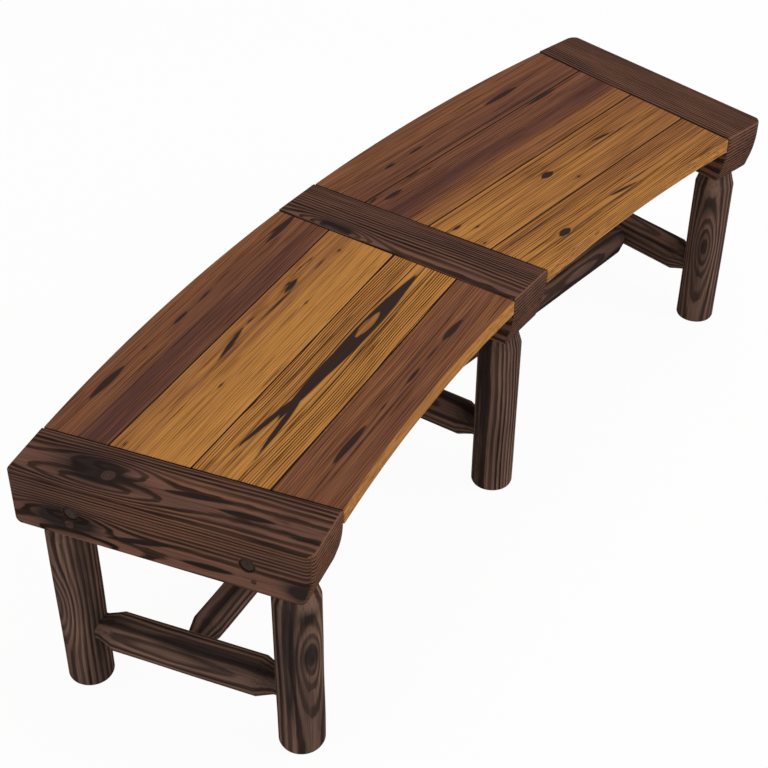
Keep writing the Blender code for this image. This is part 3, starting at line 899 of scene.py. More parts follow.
# %% [markdown]
# Every new piece takes the place of one CAD node. It could be modelled where it stands, but then its
# grain would run along no axis. So it is made in a frame of its own, its numbers are painted on, and only
# then its mesh is moved to its place. It rides on the one body of the bench. The noise would look alike
# on six equal legs, so each piece shifts it by its number.

# %% Put a finished piece in place
GRAIN_ALONG_X, GRAIN_ALONG_Y, GRAIN_ALONG_Z = (0, 1, 2), (1, 0, 2), (2, 0, 1)
NOISE_SHIFT = 0.37
SMOOTH_ANGLE = math.radians(35)
PLAIN_NUMBERS = {"tone": 0.3, "years": 0.0, "rate": 0.3, "streak": NO_STREAK, "knot": NO_KNOT, "lines": 1.0}
finished = []


def vertex_array(mesh, kind):
    values = np.empty(len(mesh.vertices) * 3, np.float32)
    mesh.vertices.foreach_get(kind, values)
    return values.reshape(-1, 3).astype(float)


def add_finished(node, mesh, place, slot, grain_axes, pattern):
    """Paints the pattern's numbers on a mesh and puts it in the place of a CAD node."""
    points = vertex_array(mesh, "co")[:, list(grain_axes)]
    facing = vertex_array(mesh, "normal")[:, list(grain_axes)]
    for name, values in {**PLAIN_NUMBERS, **pattern(points / MM, facing)}.items():
        store(mesh, name, np.broadcast_to(values, len(points)))
    shifted = mesh.attributes.new("grain", "FLOAT_VECTOR", "POINT")
    shifted.data.foreach_set("vector", (points + NOISE_SHIFT * len(finished)).astype(np.float32).ravel())
    mesh.transform(place)
    mesh.shade_smooth()
    mesh.set_sharp_from_angle(angle=SMOOTH_ANGLE)
    mesh.materials.clear()
    mesh.materials.append(finishes[slot])
    piece = bpy.data.objects.new(f"finished_{node}", mesh)
    scene.collection.objects.link(piece)
    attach(piece, "root")
    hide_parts(node)
    finished.append(piece)


print(f"each piece shifts its noise by another {NOISE_SHIFT} m")

# %% [markdown]
# A beam is a squared timber, and its inner end is undercut like the bow of a boat. Seen from the side
# that is an outline with one bent end, so the beam is a panel that stands on its edge, with its width for
# a thickness. A cube with its end cut off by a Boolean would show a hard edge where the cut starts. Here
# the bow starts as an arc that leaves the end smoothly, and runs on straight.

# %% Outline the beams
EDGE_EASE, HEEL_EASE = 3 * MM, 8 * MM
UNDERCUT_START, UNDERCUT_RADIUS, UNDERCUT_ANGLE = 19 * MM, 200 * MM, math.radians(17)
UNDERCUT_STEPS = 12
BEAM_STEPS = (116, 34)


def arc_points(centre, radius, start, end, steps):
    angles = np.linspace(start, end, steps + 1)
    return np.column_stack([centre[0] + radius * np.cos(angles), centre[1] + radius * np.sin(angles)])


def beam_outline():
    """The side view of a beam: along from its inner end, and up from its top, which is at zero."""
    foot = BEAM_UNDERSIDE - SEAT_TOP
    turn = math.pi + UNDERCUT_ANGLE
    bow = arc_points((UNDERCUT_RADIUS, -UNDERCUT_START), UNDERCUT_RADIUS, math.pi, turn, UNDERCUT_STEPS)
    nose = bow[-1][0] + (bow[-1][1] - foot) * math.tan(UNDERCUT_ANGLE)
    corners = [(nose, foot), (BEAM_LENGTH, foot), (BEAM_LENGTH, 0), (0, 0)]
    eases = [EDGE_EASE, HEEL_EASE, EDGE_EASE, EDGE_EASE]
    return corners, eases, [[], [], [], list(bow)], BEAM_STEPS


print(f"beams of {BEAM_LENGTH / MM:.0f} mm, {BEAM_HALF_WIDTH * 2 / MM:.0f} mm wide")

# %% [markdown]
# The upright corners of a beam are well rounded only where they are free, most of all on the right beam.
# Where planks meet the beam they are almost sharp. A Bevel modifier gives one rounding to all the edges
# of a panel, so these are made by drawing each slice of the beam in at both ends, the more the nearer it
# lies to the side.

# %% Round the upright corners of the beams
FREE_CORNERS = {"left": 11 * MM, "middle": 9 * MM, "right": 20 * MM}
PLANKED_CORNER = 2 * MM
PLANKED_SIDES = {"left": (1,), "middle": (-1, 1), "right": (-1,)}
HAIR = 0.25 * MM


def rounded_in(depth, radius):
    """How far a rounded corner has drawn in at a depth from the side face."""
    return radius - np.sqrt(radius**2 - np.clip(radius - depth, 0, radius) ** 2)


def round_corners(mesh, station):
    """Draws the slices of a beam in at both ends, so that its upright corners are rounded.

    The CAD corners are cut in flats, so the round ones also keep a hair inside them.
    """
    points = vertex_array(mesh, "co")
    side = np.where(points[:, 0] < 0, -1, 1)
    radius = np.where(np.isin(side, PLANKED_SIDES[station]), PLANKED_CORNER, FREE_CORNERS[station])
    depth = np.clip(BEAM_HALF_WIDTH - np.abs(points[:, 0]), 0, None)
    drawn_in = rounded_in(depth, radius) - rounded_in(depth, EDGE_EASE)
    half = BEAM_LENGTH / 2
    points[:, 1] = half + (points[:, 1] - half) * (1 - (drawn_in + HAIR) / half)
    points[:, 0] *= 1 - HAIR / BEAM_HALF_WIDTH
    mesh.vertices.foreach_set("co", points.astype(np.float32).ravel())
    mesh.update()
    return mesh


print("free corners of", [round(radius / MM) for radius in FREE_CORNERS.values()], "mm")

# %% [markdown]
# Two leg sockets come up into each beam from below, and a bolt passes right through near each end. On the
# end beams the round bolt head lies flush in a shallow recess. The holes could be typed in, but a leg or
# a bolt that moved would then miss its hole. So the CAD legs and bolts say where each tool goes.

# %% Bore the beams
ENDS = ("inner", "outer")
LEG_TENON_RADIUS = 25 * MM
BOLT_BORE, RECESS_RADIUS, RECESS_DEPTH = 5.5 * MM, 13 * MM, 5.5 * MM
HEAD_SIDE = {"left": -1, "middle": -1, "right": 1}


def bolt_bore(station):
    """The bore through a beam, from one side to the other, with the recess on the side of the head."""
    past = BEAM_HALF_WIDTH + CUT_PAST
    if station == "middle":
        return straight_bore(-past, past, BOLT_BORE)
    step = BEAM_HALF_WIDTH - RECESS_DEPTH
    bore = straight_bore(-past, step, BOLT_BORE) + straight_bore(step, past, RECESS_RADIUS)
    if HEAD_SIDE[station] < 0:
        bore = [(-height, radius) for height, radius in reversed(bore)]
    return bore


def beam_bores(station, place):
    tools = []
    below = BEAM_UNDERSIDE - SEAT_TOP - CUT_PAST
    for end in ENDS:
        leg_low, leg_high = measured(f"leg_{station}_{end}", place)
        socket = straight_bore(below, leg_high[2] + FIT, LEG_TENON_RADIUS + FIT)
        tools.append(bore_tool(socket, upright_axis(leg_low, leg_high), Z_AXIS))
        bolt_low, bolt_high = measured(f"bolt_{station}_{end}", place)
        bolt_middle = (bolt_low + bolt_high) / 2
        bolt_line = Matrix.Translation((0, bolt_middle[1], bolt_middle[2]))
        tools.append(bore_tool(bolt_bore(station), bolt_line, X_AXIS))
    return tools


print(f"two leg sockets and two bolt holes of {BOLT_BORE * 2 / MM:.0f} mm in each beam")

# %% [markdown]
# The figure of each beam is set down as a grainer would do it: where the heart runs on a face, where a
# knot sits, which streaks are black. A photograph wrapped over the beam would be quicker, but it could
# not be turned, changed or lit again. The left beam is the one that shows most. Its top and its near face
# carry the same kind of board, with one big knot near the outer end that pushes the lines into two lobes.

# %% Mark the faces of the beams
PLAIN_FACE = {"heart": (-64, 640, 0.3), "hills": [(220, -40, 90, 15, -1.2)]}
BEAM_FACES = {
    "left": {
        "top": {
            "heart": (-8, 720, 0.22),
            "hills": [(346, 16, 68, 17, -2.7), (352, -31, 112, 18, -2.9)],
            "knots": [(340, -5, 13)],
            "scorch": [(358, 6, 38, 14, 0.75), (352, -16, 44, 12, 0.5), (15, -24, 34, 5, 0.7),
                       (380, 0, 90, 45, 0.45)],
            "streaks": [(72, 167, -11, 5.5, -3, 0), (135, 258, 1, 5, -11, 0.3)],
        },
        "near": {
            "heart": (-78, 600, 0.706),
            "straight": 52,
            "hills": [(388, -52, 66, 17, -2.6), (372, -98, 96, 16, -2.6)],
            "knots": [(387, -72, 9), (93, -80, 3)],
            "scorch": [(388, -66, 46, 19, 1.0), (20, -76, 25, 17, 1.0), (400, -60, 70, 40, 0.35)],
            "streaks": [(118, 210, -78, 5.5, -4, 0), (213, 330, -66, 5, -20, 0)],
        },
        "end_tone": -0.6,
    },
    "middle": {
        "top": {
            "heart": (-62, 900, 0.3),
            "hills": [(366, -42, 66, 18, -3.8)],
            "scorch": [(386, -38, 18, 7, 0.8), (353, -40, 24, 9, 1.0), (240, 0, 400, 80, 0.06)],
        },
    },
    "right": {
        "top": {
            "heart": (-150, 1500, 0.3),
            "scorch": [(240, 0, 400, 80, -0.14), (400, -30, 60, 12, 0.25)],
        },
    },
}
print("marked beams:", ", ".join(BEAM_FACES))

# %% [markdown]
# A beam was one tree, so the lines of its top have to run on over the edge into its sides. On each side
# the years are shifted by whole years until they meet those of the top. A solid texture would join the
# faces by itself, but it could not hold a mark for each of them. The upper edges of the end faces are
# rubbed bare.

# %% Join the lines at the edges and rub the ends
WHERE_EDGES_MEET = np.array([150.0])
END_EDGE_TURN, END_EDGE_RISE = (0.15, 0.35), (0.12, 0.27)
RUBBED_REACH = 14


def rising(values, start, end):
    """0 up to the start, 1 from the end on, and a slope between them."""
    return np.clip((values - start) / (end - start), 0, 1)


def edge_step(first, first_across, second, second_across):
    """The whole years to add to a second face so that its lines meet those of the first at their edge."""
    gap = sawn_years(WHERE_EDGES_MEET, first_across, first)
    gap = gap - sawn_years(WHERE_EDGES_MEET, second_across, second)
    return np.round(gap[0])


def end_edge_wear(along, facing):
    """How rubbed the upper edges of the end faces are."""
    worn = rising(np.abs(facing[:, 0]), *END_EDGE_TURN) * rising(facing[:, 2], *END_EDGE_RISE)
    worn[np.minimum(along, BEAM_LENGTH / MM - along) > RUBBED_REACH] = 0
    return worn


print(f"end edges are rubbed up to {RUBBED_REACH} mm along the beam")

# %% [markdown]
# Which face of a beam a vertex lies on is told by its normal. The top has its own marks and so have the
# sides, whose lines curl down near the inner end, where the beam is undercut. The end faces only show
# level stripes. Each face could be a mesh of its own, but then a seam would show on the rounded edges
# between them.

# %% Turn the beam marks into numbers
STEEP = 0.7
END_LINES, RUBBED_LINES = 7.0, 0.7
CURL, CURL_REACH = 4.0, 9.0
BEAM_SWAY, BEAM_WAVES = 1.3, (240, 400, 400)
BEAM_TONE, BEAM_TONE_SWING, BEAM_TONE_WAVES = 0.3, 0.1, (300, 60, 60)
TONE_SEED = 5


def beam_pattern(faces, seed):
    half = BEAM_HALF_WIDTH / MM

    def pattern(grain, facing):
        along, across, up = grain.T
        sway = BEAM_SWAY * waves(grain, seed, BEAM_WAVES)
        curl = CURL * np.exp(-((along / CURL_REACH) ** 2))
        at_end = np.abs(facing[:, 0]) > STEEP
        numbers = face_numbers(along, across + sway, faces["top"])
        for name, side in (("near", -1), ("far", 1)):
            on_side = (side * facing[:, 1] > STEEP) & ~at_end
            face = faces.get(name, PLAIN_FACE)
            side_numbers = face_numbers(along, up + sway - curl, face)
            side_numbers["years"] += edge_step(faces["top"], side * half, face, 0.0)
            for key, values in side_numbers.items():
                numbers[key] = np.where(on_side, values, numbers[key])
        end_numbers = {
            "years": (up + sway) / END_LINES,
            "rate": 1 / END_LINES,
            "knot": NO_KNOT,
            "streak": NO_STREAK,
            "tone": faces.get("end_tone", 0.0),
        }
        for key, values in end_numbers.items():
            numbers[key] = np.where(at_end, values, numbers[key])
        numbers["tone"] += BEAM_TONE + BEAM_TONE_SWING * waves(grain, seed + TONE_SEED, BEAM_TONE_WAVES)
        numbers["wear"] = end_edge_wear(along, facing)
        numbers["lines"] = 1 - RUBBED_LINES * numbers["wear"]
        return numbers

    return pattern


print(f"end faces show a line every {END_LINES:.0f} mm")

# %% [markdown]
# Now the three beams can be made: outline, corners, holes and figure. Three copies of one beam would be
# quicker, but their corners and their grain differ, as they do on timbers that were sawn from three
# trees.

# %% Place the beams
BEAM_WALL_STEP = 2.2 * MM
SEED_STEP = 10

for number, station in enumerate(STATIONS):
    place = station_frames[station] @ Matrix.Translation((0, INNER_RADIUS, SEAT_TOP))
    levels = eased_levels(-BEAM_HALF_WIDTH, BEAM_HALF_WIDTH, EDGE_EASE, BEAM_WALL_STEP)
    mesh = round_corners(panel(f"beam_{station}", beam_outline(), levels, ON_EDGE), station)
    mesh = bored(mesh, beam_bores(station, place))
    pattern = beam_pattern(BEAM_FACES[station], SEED_STEP * number)
    add_finished(f"beam_{station}", mesh, place, "charred_beam", GRAIN_ALONG_Y, pattern)
    print(f"beam_{station}: {len(mesh.polygons)} faces")

# %% [markdown]
# The seat planks run from beam to beam. Their seams are straight, but the first and the last plank follow
# the ring on their free edges. A curve object could be bent to the ring, but a plank is sawn flat and
# only its edge is round, so it is a panel too: two of its sides are straight, or pass points on an arc of
# the ring.

# %% Outline the planks
PLANK_SLOTS = {
    "inner": "brown_plank",
    "second": "honey_plank",
    "third": "honey_plank",
    "outer": "brown_plank",
}
PLANK_EDGE_EASE, PLANK_CORNER_EASE = 1.8 * MM, 2.5 * MM
PLANK_STEPS = (150, 44)
RING_EDGE_STEPS = 60
HALF_ANGLE = beam_direction("left").angle(beam_direction("middle")) / 2
_, second_high = measured("plank_left_second", section_frames["left"])
END_OFFSET = second_high[1] * math.sin(HALF_ANGLE) - second_high[0] * math.cos(HALF_ANGLE)


def plank_edge(level, on_ring):
    """Half of a plank's long edge, from its middle to its right end: a straight seam or an arc."""
    if not on_ring:
        return np.array([(level * math.tan(HALF_ANGLE) - END_OFFSET / math.cos(HALF_ANGLE), level)])
    angles = np.linspace(0, HALF_ANGLE - math.asin(END_OFFSET / level), RING_EDGE_STEPS + 1)
    return level * np.column_stack([np.sin(angles), np.cos(angles)])


def plank_outline(section, name):
    points = cad_points(f"plank_{section}_{name}", section_frames[section])
    reach = np.hypot(points[:, 0], points[:, 1])
    near = plank_edge(reach.min() if name == "inner" else points[:, 1].min(), name == "inner")
    far = plank_edge(reach.max() if name == "outer" else points[:, 1].max(), name == "outer")
    near, far = near - (0, INNER_RADIUS), far - (0, INNER_RADIUS)
    mirror = np.array([-1, 1])
    corners = [near[-1] * mirror, near[-1], far[-1], far[-1] * mirror]
    near_way = [*(near[-2:0:-1] * mirror), *near[:-1]]
    far_way = [*far[-2::-1], *(far[1:-1] * mirror)]
    return corners, [PLANK_CORNER_EASE] * 4, [near_way, [], far_way, []], PLANK_STEPS


print(f"plank ends lie {END_OFFSET / MM:.1f} mm from the middle of their beam")

# %% [markdown]
# Each plank has its own character in the wood: honey or brown, dark bands, black resin flames. One random
# wood for all eight would look like wallpaper. So a plank has a few listed marks in millimetres, along
# from its middle and across from the inner edge of the seat. Its tone goes from honey at 0 to dark brown at
# 1, drift makes it darker towards the right, an eye is a clear patch inside a streak, and a quiet spot has
# few lines. The free side tells which long edge can be seen and rubbed.

# %% Mark the planks of the left seat
PLANK_FIGURES = {
    "left_outer": {
        "free_side": 1,
        "lines": 0.7,
        "tone": [(361, 0.80), (368, 0.87), (392, 0.93), (402, 0.82), (418, 0.66), (440, 0.61), (487, 0.57)],
        "drift": -0.06,
        "heart": 300,
        "streaks": [(-258, -155, 447.5, 6, 0, 0.1), (-116, -96, 446, 1.6, 0, 0), (-38, 14, 441.5, 3.2, 0, 0),
                    (28, 88, 441, 2, 1, 0), (92, 156, 443.5, 1.5, -1, 0), (232, 342, 433.5, 5, 0, 0.2),
                    (255, 335, 440.5, 2.2, -7, 0), (-300, 250, 409, 1.2, 0, 0), (180, 290, 424, 1.1, 1, 0)],
    },
    "left_third": {
        "lines": 0.4,
        "tone": [(228, 0.02), (290, 0.04), (315, 0.22), (345, 0.30), (360, 0.26)],
        "heart": 330,
        "streaks": [(-82, 18, 333, 3.8, 13, 0), (14, 60, 338.5, 1.1, -3, 0), (0, 150, 324.5, 1.8, -3, 0.7),
                    (124, 174, 331, 4.6, 3, 0.3), (122, 165, 337.5, 1.5, 5, 0.4),
                    (170, 262, 343, 1.4, -9, 0),
                    (205, 252, 321, 1.4, 1, 0), (-142, -118, 290, 1.8, 0, 0), (110, 131, 285, 1.7, 0, 0),
                    (-322, -306, 339, 1.7, 0, 0), (274, 286, 312, 2, 0, 0)],
    },
    "left_second": {
        "lines": 1.8,
        "tone": [(100, -0.06), (150, -0.04), (165, 0.05), (190, 0.06), (226, 0.08)],
        "heart": 168,
        "streaks": [(-170, 150, 169.5, 10.5, -3, 0), (-120, 286, 166, 14, -6, 0.15),
                    (-262, -90, 182.8, 4.5, -21.5, 0.4), (-262, -90, 160, 4.5, 14, 0.4),
                    (-180, 280, 201, 0.9, -8, 0), (-250, 300, 143, 1.0, 2, 0)],
        "eyes": [(72, 157, 167.5, 7.5, -2, 0)],
        "quiet": [(-270, 186, 130, 34, 0.9), (-230, 170, 60, 20, 0.9), (-300, 120, 60, 30, 0.5)],
    },
    "left_inner": {
        "free_side": -1,
        "lines": 0.7,
        "tone": [(0, 0.66), (50, 0.66), (101, 0.59)],
        "heart": 46,
        "streaks": [(-213, -103, 49.5, 5.8, -1, 0), (-72, -44, 47, 1.6, 0, 0), (6, 57, 42.5, 3, 0, 0),
                    (72, 124, 42.5, 1.6, 0, 0), (132, 204, 42, 5.5, -3, -0.3), (-320, -200, 44, 1.1, 3, 0),
                    (-290, 20, 36, 1.1, 1, 0), (-60, 280, 60, 1.0, 0, 0)],
    },
}
print("marked planks:", ", ".join(PLANK_FIGURES))

# %% [markdown]
# The right seat lies farther from the eye, so its marks can be fewer. A copy of the left seat would save
# the work, but the two boards with the big dark flame would show at once as twins.

# %% Mark the planks of the right seat
PLANK_FIGURES.update({
    "right_outer": {
        "free_side": 1,
        "lines": 0.75,
        "tone": [(361, 0.69), (372, 0.82), (385, 0.74), (430, 0.67), (450, 0.62), (487, 0.61)],
        "heart": 405,
        "streaks": [(-219, -187, 406, 3.6, 0, 0), (-152, -103, 407, 3, 1, 0), (85, 197, 414, 5.8, -1, 0),
                    (200, 275, 420, 1.2, 0, 0), (-326, -215, 415, 1.2, -5, 0), (-300, 300, 371, 1.3, 0, 0),
                    (-250, 80, 424, 1.0, 0, 0)],
    },
    "right_third": {
        "lines": 1.0,
        "tone": [(228, 0.36), (260, 0.42), (284, 0.93), (306, 0.95), (322, 0.76), (361, 0.68)],
        "heart": 345,
        "streaks": [(-303, -247, 337.5, 5, 0, 0), (140, 244, 352.5, 4.6, 0, 0), (-228, -168, 354.5, 2, 0, 0),
                    (-326, -298, 352, 2.6, 6, 0), (-170, -155, 346, 1.6, 0, 0)],
    },
    "right_second": {
        "lines": 0.8,
        "tone": [(100, 0.20), (226, 0.25)],
        "drift": 0.12,
        "heart": 168,
        "streaks": [(-56, -22, 170, 8, -1, 0), (-40, 310, 164.5, 1.5, 2, -0.3),
                    (110, 176, 174.5, 2.8, -10, -0.3), (-298, -272, 184, 3, 0, 0),
                    (-266, -252, 159, 2, 0, 0),
                    (-296, -286, 118, 2.4, 0, 0), (-12, 0, 124, 2.2, 0, 0), (-320, 300, 214, 1.0, 0, 0),
                    (-120, 250, 190, 1.0, 3, 0)],
    },
    "right_inner": {
        "free_side": -1,
        "lines": 1.1,
        "tone": [(0, 0.15), (50, 0.20), (75, 0.36), (101, 0.29)],
        "drift": 0.11,
        "heart": 36,
        "streaks": [(-191, -156, 34.5, 8, 2, 0.2), (-26, 58, 37.5, 3, -12, -0.5),
                    (-300, -40, 80, 1.2, -5, 0),
                    (-290, -190, 42, 1.2, 0, 0), (-290, -40, 23.5, 1.3, 3, 0), (-150, 260, 30, 1.0, 4, 0),
                    (30, 100, 45, 1.2, -3, 0)],
    },
})
print(len(PLANK_FIGURES), "planks marked")

# %% [markdown]
# Where resin fills a crack, the lines of the wood have grown round it. Just drawing a streak over
# straight lines would leave it floating, so each streak pushes its lines aside first. The tone changes
# across a plank, as the board takes in sapwood and heartwood, and a slow swell keeps that change from
# looking ruled.

# %% Push the lines aside and tone the planks
PUSH_REACH, PUSH_LENGTH = 20.0, 1.2
TONE_WANDER, TONE_WAVES, WANDER_SEED = 2.5, (400, 90, 90), 7
DRIFT_REACH, EYE_TONE = 300, 0.28


def pushed_aside(along, across, streaks):
    """Where a point across the plank would lie if no streak had pushed the lines away from itself."""
    moved = across
    for start, end, middle, half_width, climb, _ in streaks:
        share = (along - (start + end) / 2) / ((end - start) / 2)
        away = across - middle - climb * np.clip(share, -1, 1) / 2
        push = half_width * np.exp(-((share / PUSH_LENGTH) ** 2) - np.abs(away) / PUSH_REACH)
        moved = moved - push * np.tanh(away / (half_width + 1))
    return moved


def plank_tone(grain, eye, figure, seed):
    """From honey to brown: across the plank, along it, and darker in an eye."""
    along, across, _ = grain.T
    levels, tones = zip(*figure["tone"])
    tone = np.interp(across + TONE_WANDER * waves(grain, seed + WANDER_SEED, TONE_WAVES), levels, tones)
    return tone + figure.get("drift", 0.0) * along / DRIFT_REACH + EYE_TONE * rising(eye, -1, 1)


print(f"a streak bends the lines about {PUSH_REACH:.0f} mm away from it")

# %% [markdown]
# On a free edge a plank is toned honey, and it is rubbed barest along the top, where that pale band also
# paints the highlight of the rounded edge. The walls of the seams are painted dark as shade, as almost no
# light gets in there. Each of these could have a material of its own, but they would meet in a hard line.
# So the normal of each vertex tells how much of face, edge or seam it is.

# %% Turn the plank marks into numbers
LINE_SPACING, HEART_HALF_WIDTH = 4.6, 12.0
PLANK_SWAY, PLANK_WAVES, STREAK_SLANT = 1.2, (300, 500, 500), 0.35
# The seam walls lie this deep in a black streak: that black is painted shade, as little light gets in there.
HONEY_EDGE, SEAM_PAINTED_SHADE = 0.1, 4.0
FACE_TURN, SEAM_TURN, RUBBED_AND_HIGHLIGHT_TURN = (0.3, 0.8), (0.73, 0.93), (0.15, 0.45)
FREE_EDGE_TURN = 0.3


def plank_pattern(figure, seed):
    valley = (figure["heart"], 2 * HEART_HALF_WIDTH * LINE_SPACING, 0.0)
    face = {"heart": valley, "straight": HEART_HALF_WIDTH}

    def field(along, across):
        return sawn_years(along, pushed_aside(along, across, figure["streaks"]), face)

    def pattern(grain, facing):
        along, across, up = grain.T
        flatness = np.abs(facing[:, 2])
        on_free_edge = (facing[:, 1] * figure.get("free_side", 0)) > FREE_EDGE_TURN
        in_seam_shade = np.where(on_free_edge, 0.0, 1 - rising(flatness, *SEAM_TURN))
        level = across + STREAK_SLANT * up
        eye = streak_field(along, level, figure.get("eyes", ()))
        streak = np.minimum(streak_field(along, level, figure["streaks"]), -eye)
        # Painted shade: the walls of the seams take the black of a streak, as little light gets in there.
        streak = np.maximum(streak, NO_STREAK + (SEAM_PAINTED_SHADE - NO_STREAK) * in_seam_shade)
        sway = PLANK_SWAY * waves(grain, seed, PLANK_WAVES)
        years, rate = years_and_rate(field, along, across + sway + up)
        tone = plank_tone(grain, eye, figure, seed)
        tone = HONEY_EDGE + (tone - HONEY_EDGE) * rising(flatness, *FACE_TURN)
        # A free edge is paler where it turns up to the top: rubbed wear, and a painted highlight of the
        # rounded edge.
        rubbed = np.where(on_free_edge, rising(facing[:, 2], *RUBBED_AND_HIGHLIGHT_TURN), 0.0)
        lines = figure["lines"]
        for *spot, amount in figure.get("quiet", ()):
            lines = lines * (1 - amount * hump(along, across, spot))
        return {"years": years, "rate": rate, "streak": streak, "tone": tone, "lines": lines, "wear": rubbed}

    return pattern


print(f"plank lines lie {LINE_SPACING} mm apart")

# %% [markdown]
# Two screws come up into each plank from below, one near each end. A screw cuts its own way in wood, but
# two meshes must not share the same room, so each plank gets a pilot hole that the thread just fits into.

# %% Place the planks
SEAT_ENDS = ("end", "middle")
PILOT_RADIUS = 2.6 * MM
PLANK_WALL_STEP = 4 * MM
PLANK_SEED = 40


def pilot_holes(section, name, place, thickness):
    tools = []
    for seat_end in SEAT_ENDS:
        screw_low, screw_high = measured(f"screw_{section}_{seat_end}_{name}", place)
        hole = straight_bore(-thickness - CUT_PAST, screw_high[2] + FIT, PILOT_RADIUS)
        tools.append(bore_tool(hole, upright_axis(screw_low, screw_high), Z_AXIS))
    return tools


for section in SECTIONS:
    for name, slot in PLANK_SLOTS.items():
        node = f"plank_{section}_{name}"
        low, high = measured(node, section_frames[section])
        thickness = high[2] - low[2]
        place = section_frames[section] @ Matrix.Translation((0, INNER_RADIUS, high[2]))
        levels = eased_levels(-thickness, 0, PLANK_EDGE_EASE, PLANK_WALL_STEP)
        mesh = panel(node, plank_outline(section, name), levels, LYING)
        mesh = bored(mesh, pilot_holes(section, name, place, thickness))
        pattern = plank_pattern(PLANK_FIGURES[f"{section}_{name}"], PLANK_SEED + SEED_STEP * len(finished))
        add_finished(node, mesh, place, slot, GRAIN_ALONG_X, pattern)
    print(f"{section} planks: {[len(piece.data.polygons) for piece in finished[-4:]]} faces")

# %% [markdown]
# Legs and stretchers are peeled logs. A drawknife takes the bark off and leaves a little of the tree's
# own shape, so the radius wavers by less than a millimetre, everywhere but on the tenons, which have to
# fit. A Displace modifier could do that, but it would bulge outwards too, past the sockets and the CAD
# log.

# %% Turn a log
LOG_SIDES, LOG_STEP, END_DISC = 72, 4 * MM, 4 * MM
LOG_WAVER, WAVER_WAVES = 0.7 * MM, (170, 70, 70)
WAVER_FADE = 8 * LOG_WAVER


def fine_profile(points, step):
    """A profile of (height, radius) with no step longer than the one given."""
    points = np.array(points, float)
    rows = [points[:1]]
    for start, end in zip(points[:-1], points[1:]):
        count = max(1, math.ceil(np.linalg.norm(end - start) / step))
        rows.append(start + (end - start) * np.linspace(0, 1, count + 1)[1:, None])
    return np.concatenate(rows)


def turned_log(name, profile, tenon_radius, axis, seed):
    """A log from its profile, a little out of round everywhere but on its tenons."""
    heights, radii = (all_round(column, LOG_SIDES) for column in fine_profile(profile, LOG_STEP).T)
    angles = round_angles(LOG_SIDES)
    spots = np.stack([heights, radii * np.cos(angles), radii * np.sin(angles)], axis=-1).reshape(-1, 3)
    waver = 0.5 + 0.5 * np.clip(waves(spots / MM, seed, WAVER_WAVES), -1, 1).reshape(radii.shape)
    body = np.clip((radii - tenon_radius) / WAVER_FADE, 0, 1)
    return spin(name, heights, radii - LOG_WAVER * waver * body, axis)


print(f"logs waver by up to {LOG_WAVER / MM} mm")

# %% [markdown]
# A log shows its years as ovals where the knife has cut across them, and as fine lines elsewhere. Random
# marks would put the ovals anywhere, also on the hidden side, so each leg has its own: up from the floor,
# and round from its wide side, which faces a given angle. Hills make the ovals, and pale takes tone off
# the log.

# %% Mark the legs
LEG_FIGURES = {
    "left_inner": {
        "wide_side": -127,
        "heart": (0, 1150, 0.2),
        "pale": 0.02,
        "hills": [(216, 3, 40, 17, -1.7), (192, 0, 100, 27, -1.95)],
        "scorch": [(216, 3, 22, 12, 0.9), (296, 0, 16, 17, 0.8), (255, -31, 95, 8, 0.9),
                   (110, -36, 60, 7, 0.5), (180, -56, 200, 6, 0.3), (200, -8, 130, 15, 0.2)],
    },
    "left_outer": {
        "wide_side": 142,
        "pale": -0.06,
        "hills": [(172, 0, 66, 36, -3.4)],
        "scorch": [(185, 66, 300, 10, 0.25), (170, -4, 40, 12, 0.3)],
    },
    "middle_inner": {
        "wide_side": 165,
        "heart": (0, 640, 0.3),
        "straight": 46,
        "pale": 0.16,
        "scorch": [(220, 4, 220, 10, 0.9)],
    },
    "middle_outer": {"wide_side": -60, "hills": [(200, 0, 85, 26, -3.2)]},
    "right_inner": {
        "wide_side": -148,
        "hills": [(186, 0, 48, 17, -1.8), (176, 0, 112, 26, -2.0)],
        "scorch": [(190, 0, 34, 12, 0.4), (282, 0, 24, 14, 0.6)],
    },
    "right_outer": {"wide_side": 100, "hills": [(180, 0, 80, 24, -2.2)]},
}
print("marked legs:", ", ".join(LEG_FIGURES))

# %% [markdown]
# The map of a log is a face wrapped round it, with its heart along the wide side. A solid ring texture
# would give straight lines only, as the log is as straight as the tree. The sawn ends show plain rings.

# %% Wrap the marks round a log
LOG_TONE, LOG_TONE_SWING, LOG_TONE_WAVES = 0.42, 0.14, (260, 50, 50)
LOG_SWAY, LOG_WAVES, END_RINGS = 1.5, (220, 300, 300), 5.5
OVAL_LOG = {"heart": (0, 800, 0.2), "straight": 38}


def log_pattern(radius, figure, seed):
    face = {**OVAL_LOG, **figure}

    def pattern(grain, facing):
        along, side, front = grain.T
        turn = np.arctan2(front, side) - math.radians(face["wide_side"])
        arc = radius * ((turn + math.pi) % (2 * math.pi) - math.pi)
        numbers = face_numbers(along, arc + LOG_SWAY * waves(grain, seed, LOG_WAVES), face)
        swing = LOG_TONE_SWING * waves(grain, seed + TONE_SEED, LOG_TONE_WAVES)
        numbers["tone"] += LOG_TONE - face.get("pale", 0) + swing
        at_end = np.abs(facing[:, 0]) > STEEP
        numbers["years"] = np.where(at_end, np.hypot(side, front) / END_RINGS, numbers["years"])
        numbers["rate"] = np.where(at_end, 1 / END_RINGS, numbers["rate"])
        return numbers

    return pattern


print(f"sawn ends show a ring every {END_RINGS} mm")

# %% [markdown]
# Each leg narrows to a blunt cone at the top, like a pencil, and the cone ends in a tenon that is driven
# up into the beam. Its foot is sawn square and eased all round, and a socket in its side takes the end of
# the cross stretcher. A stretched cylinder would do for the log alone. A profile with a row for each
# change of radius makes log, cone and tenon in one piece.

# %% Place the legs
LEG_CONE, LEG_SHOULDER = 38 * MM, 1.5 * MM
FOOT_EASE, FOOT_ROUND = 3 * MM, 0.3
CROSS_TENON_RADIUS = 22 * MM
LEG_SEED = 200


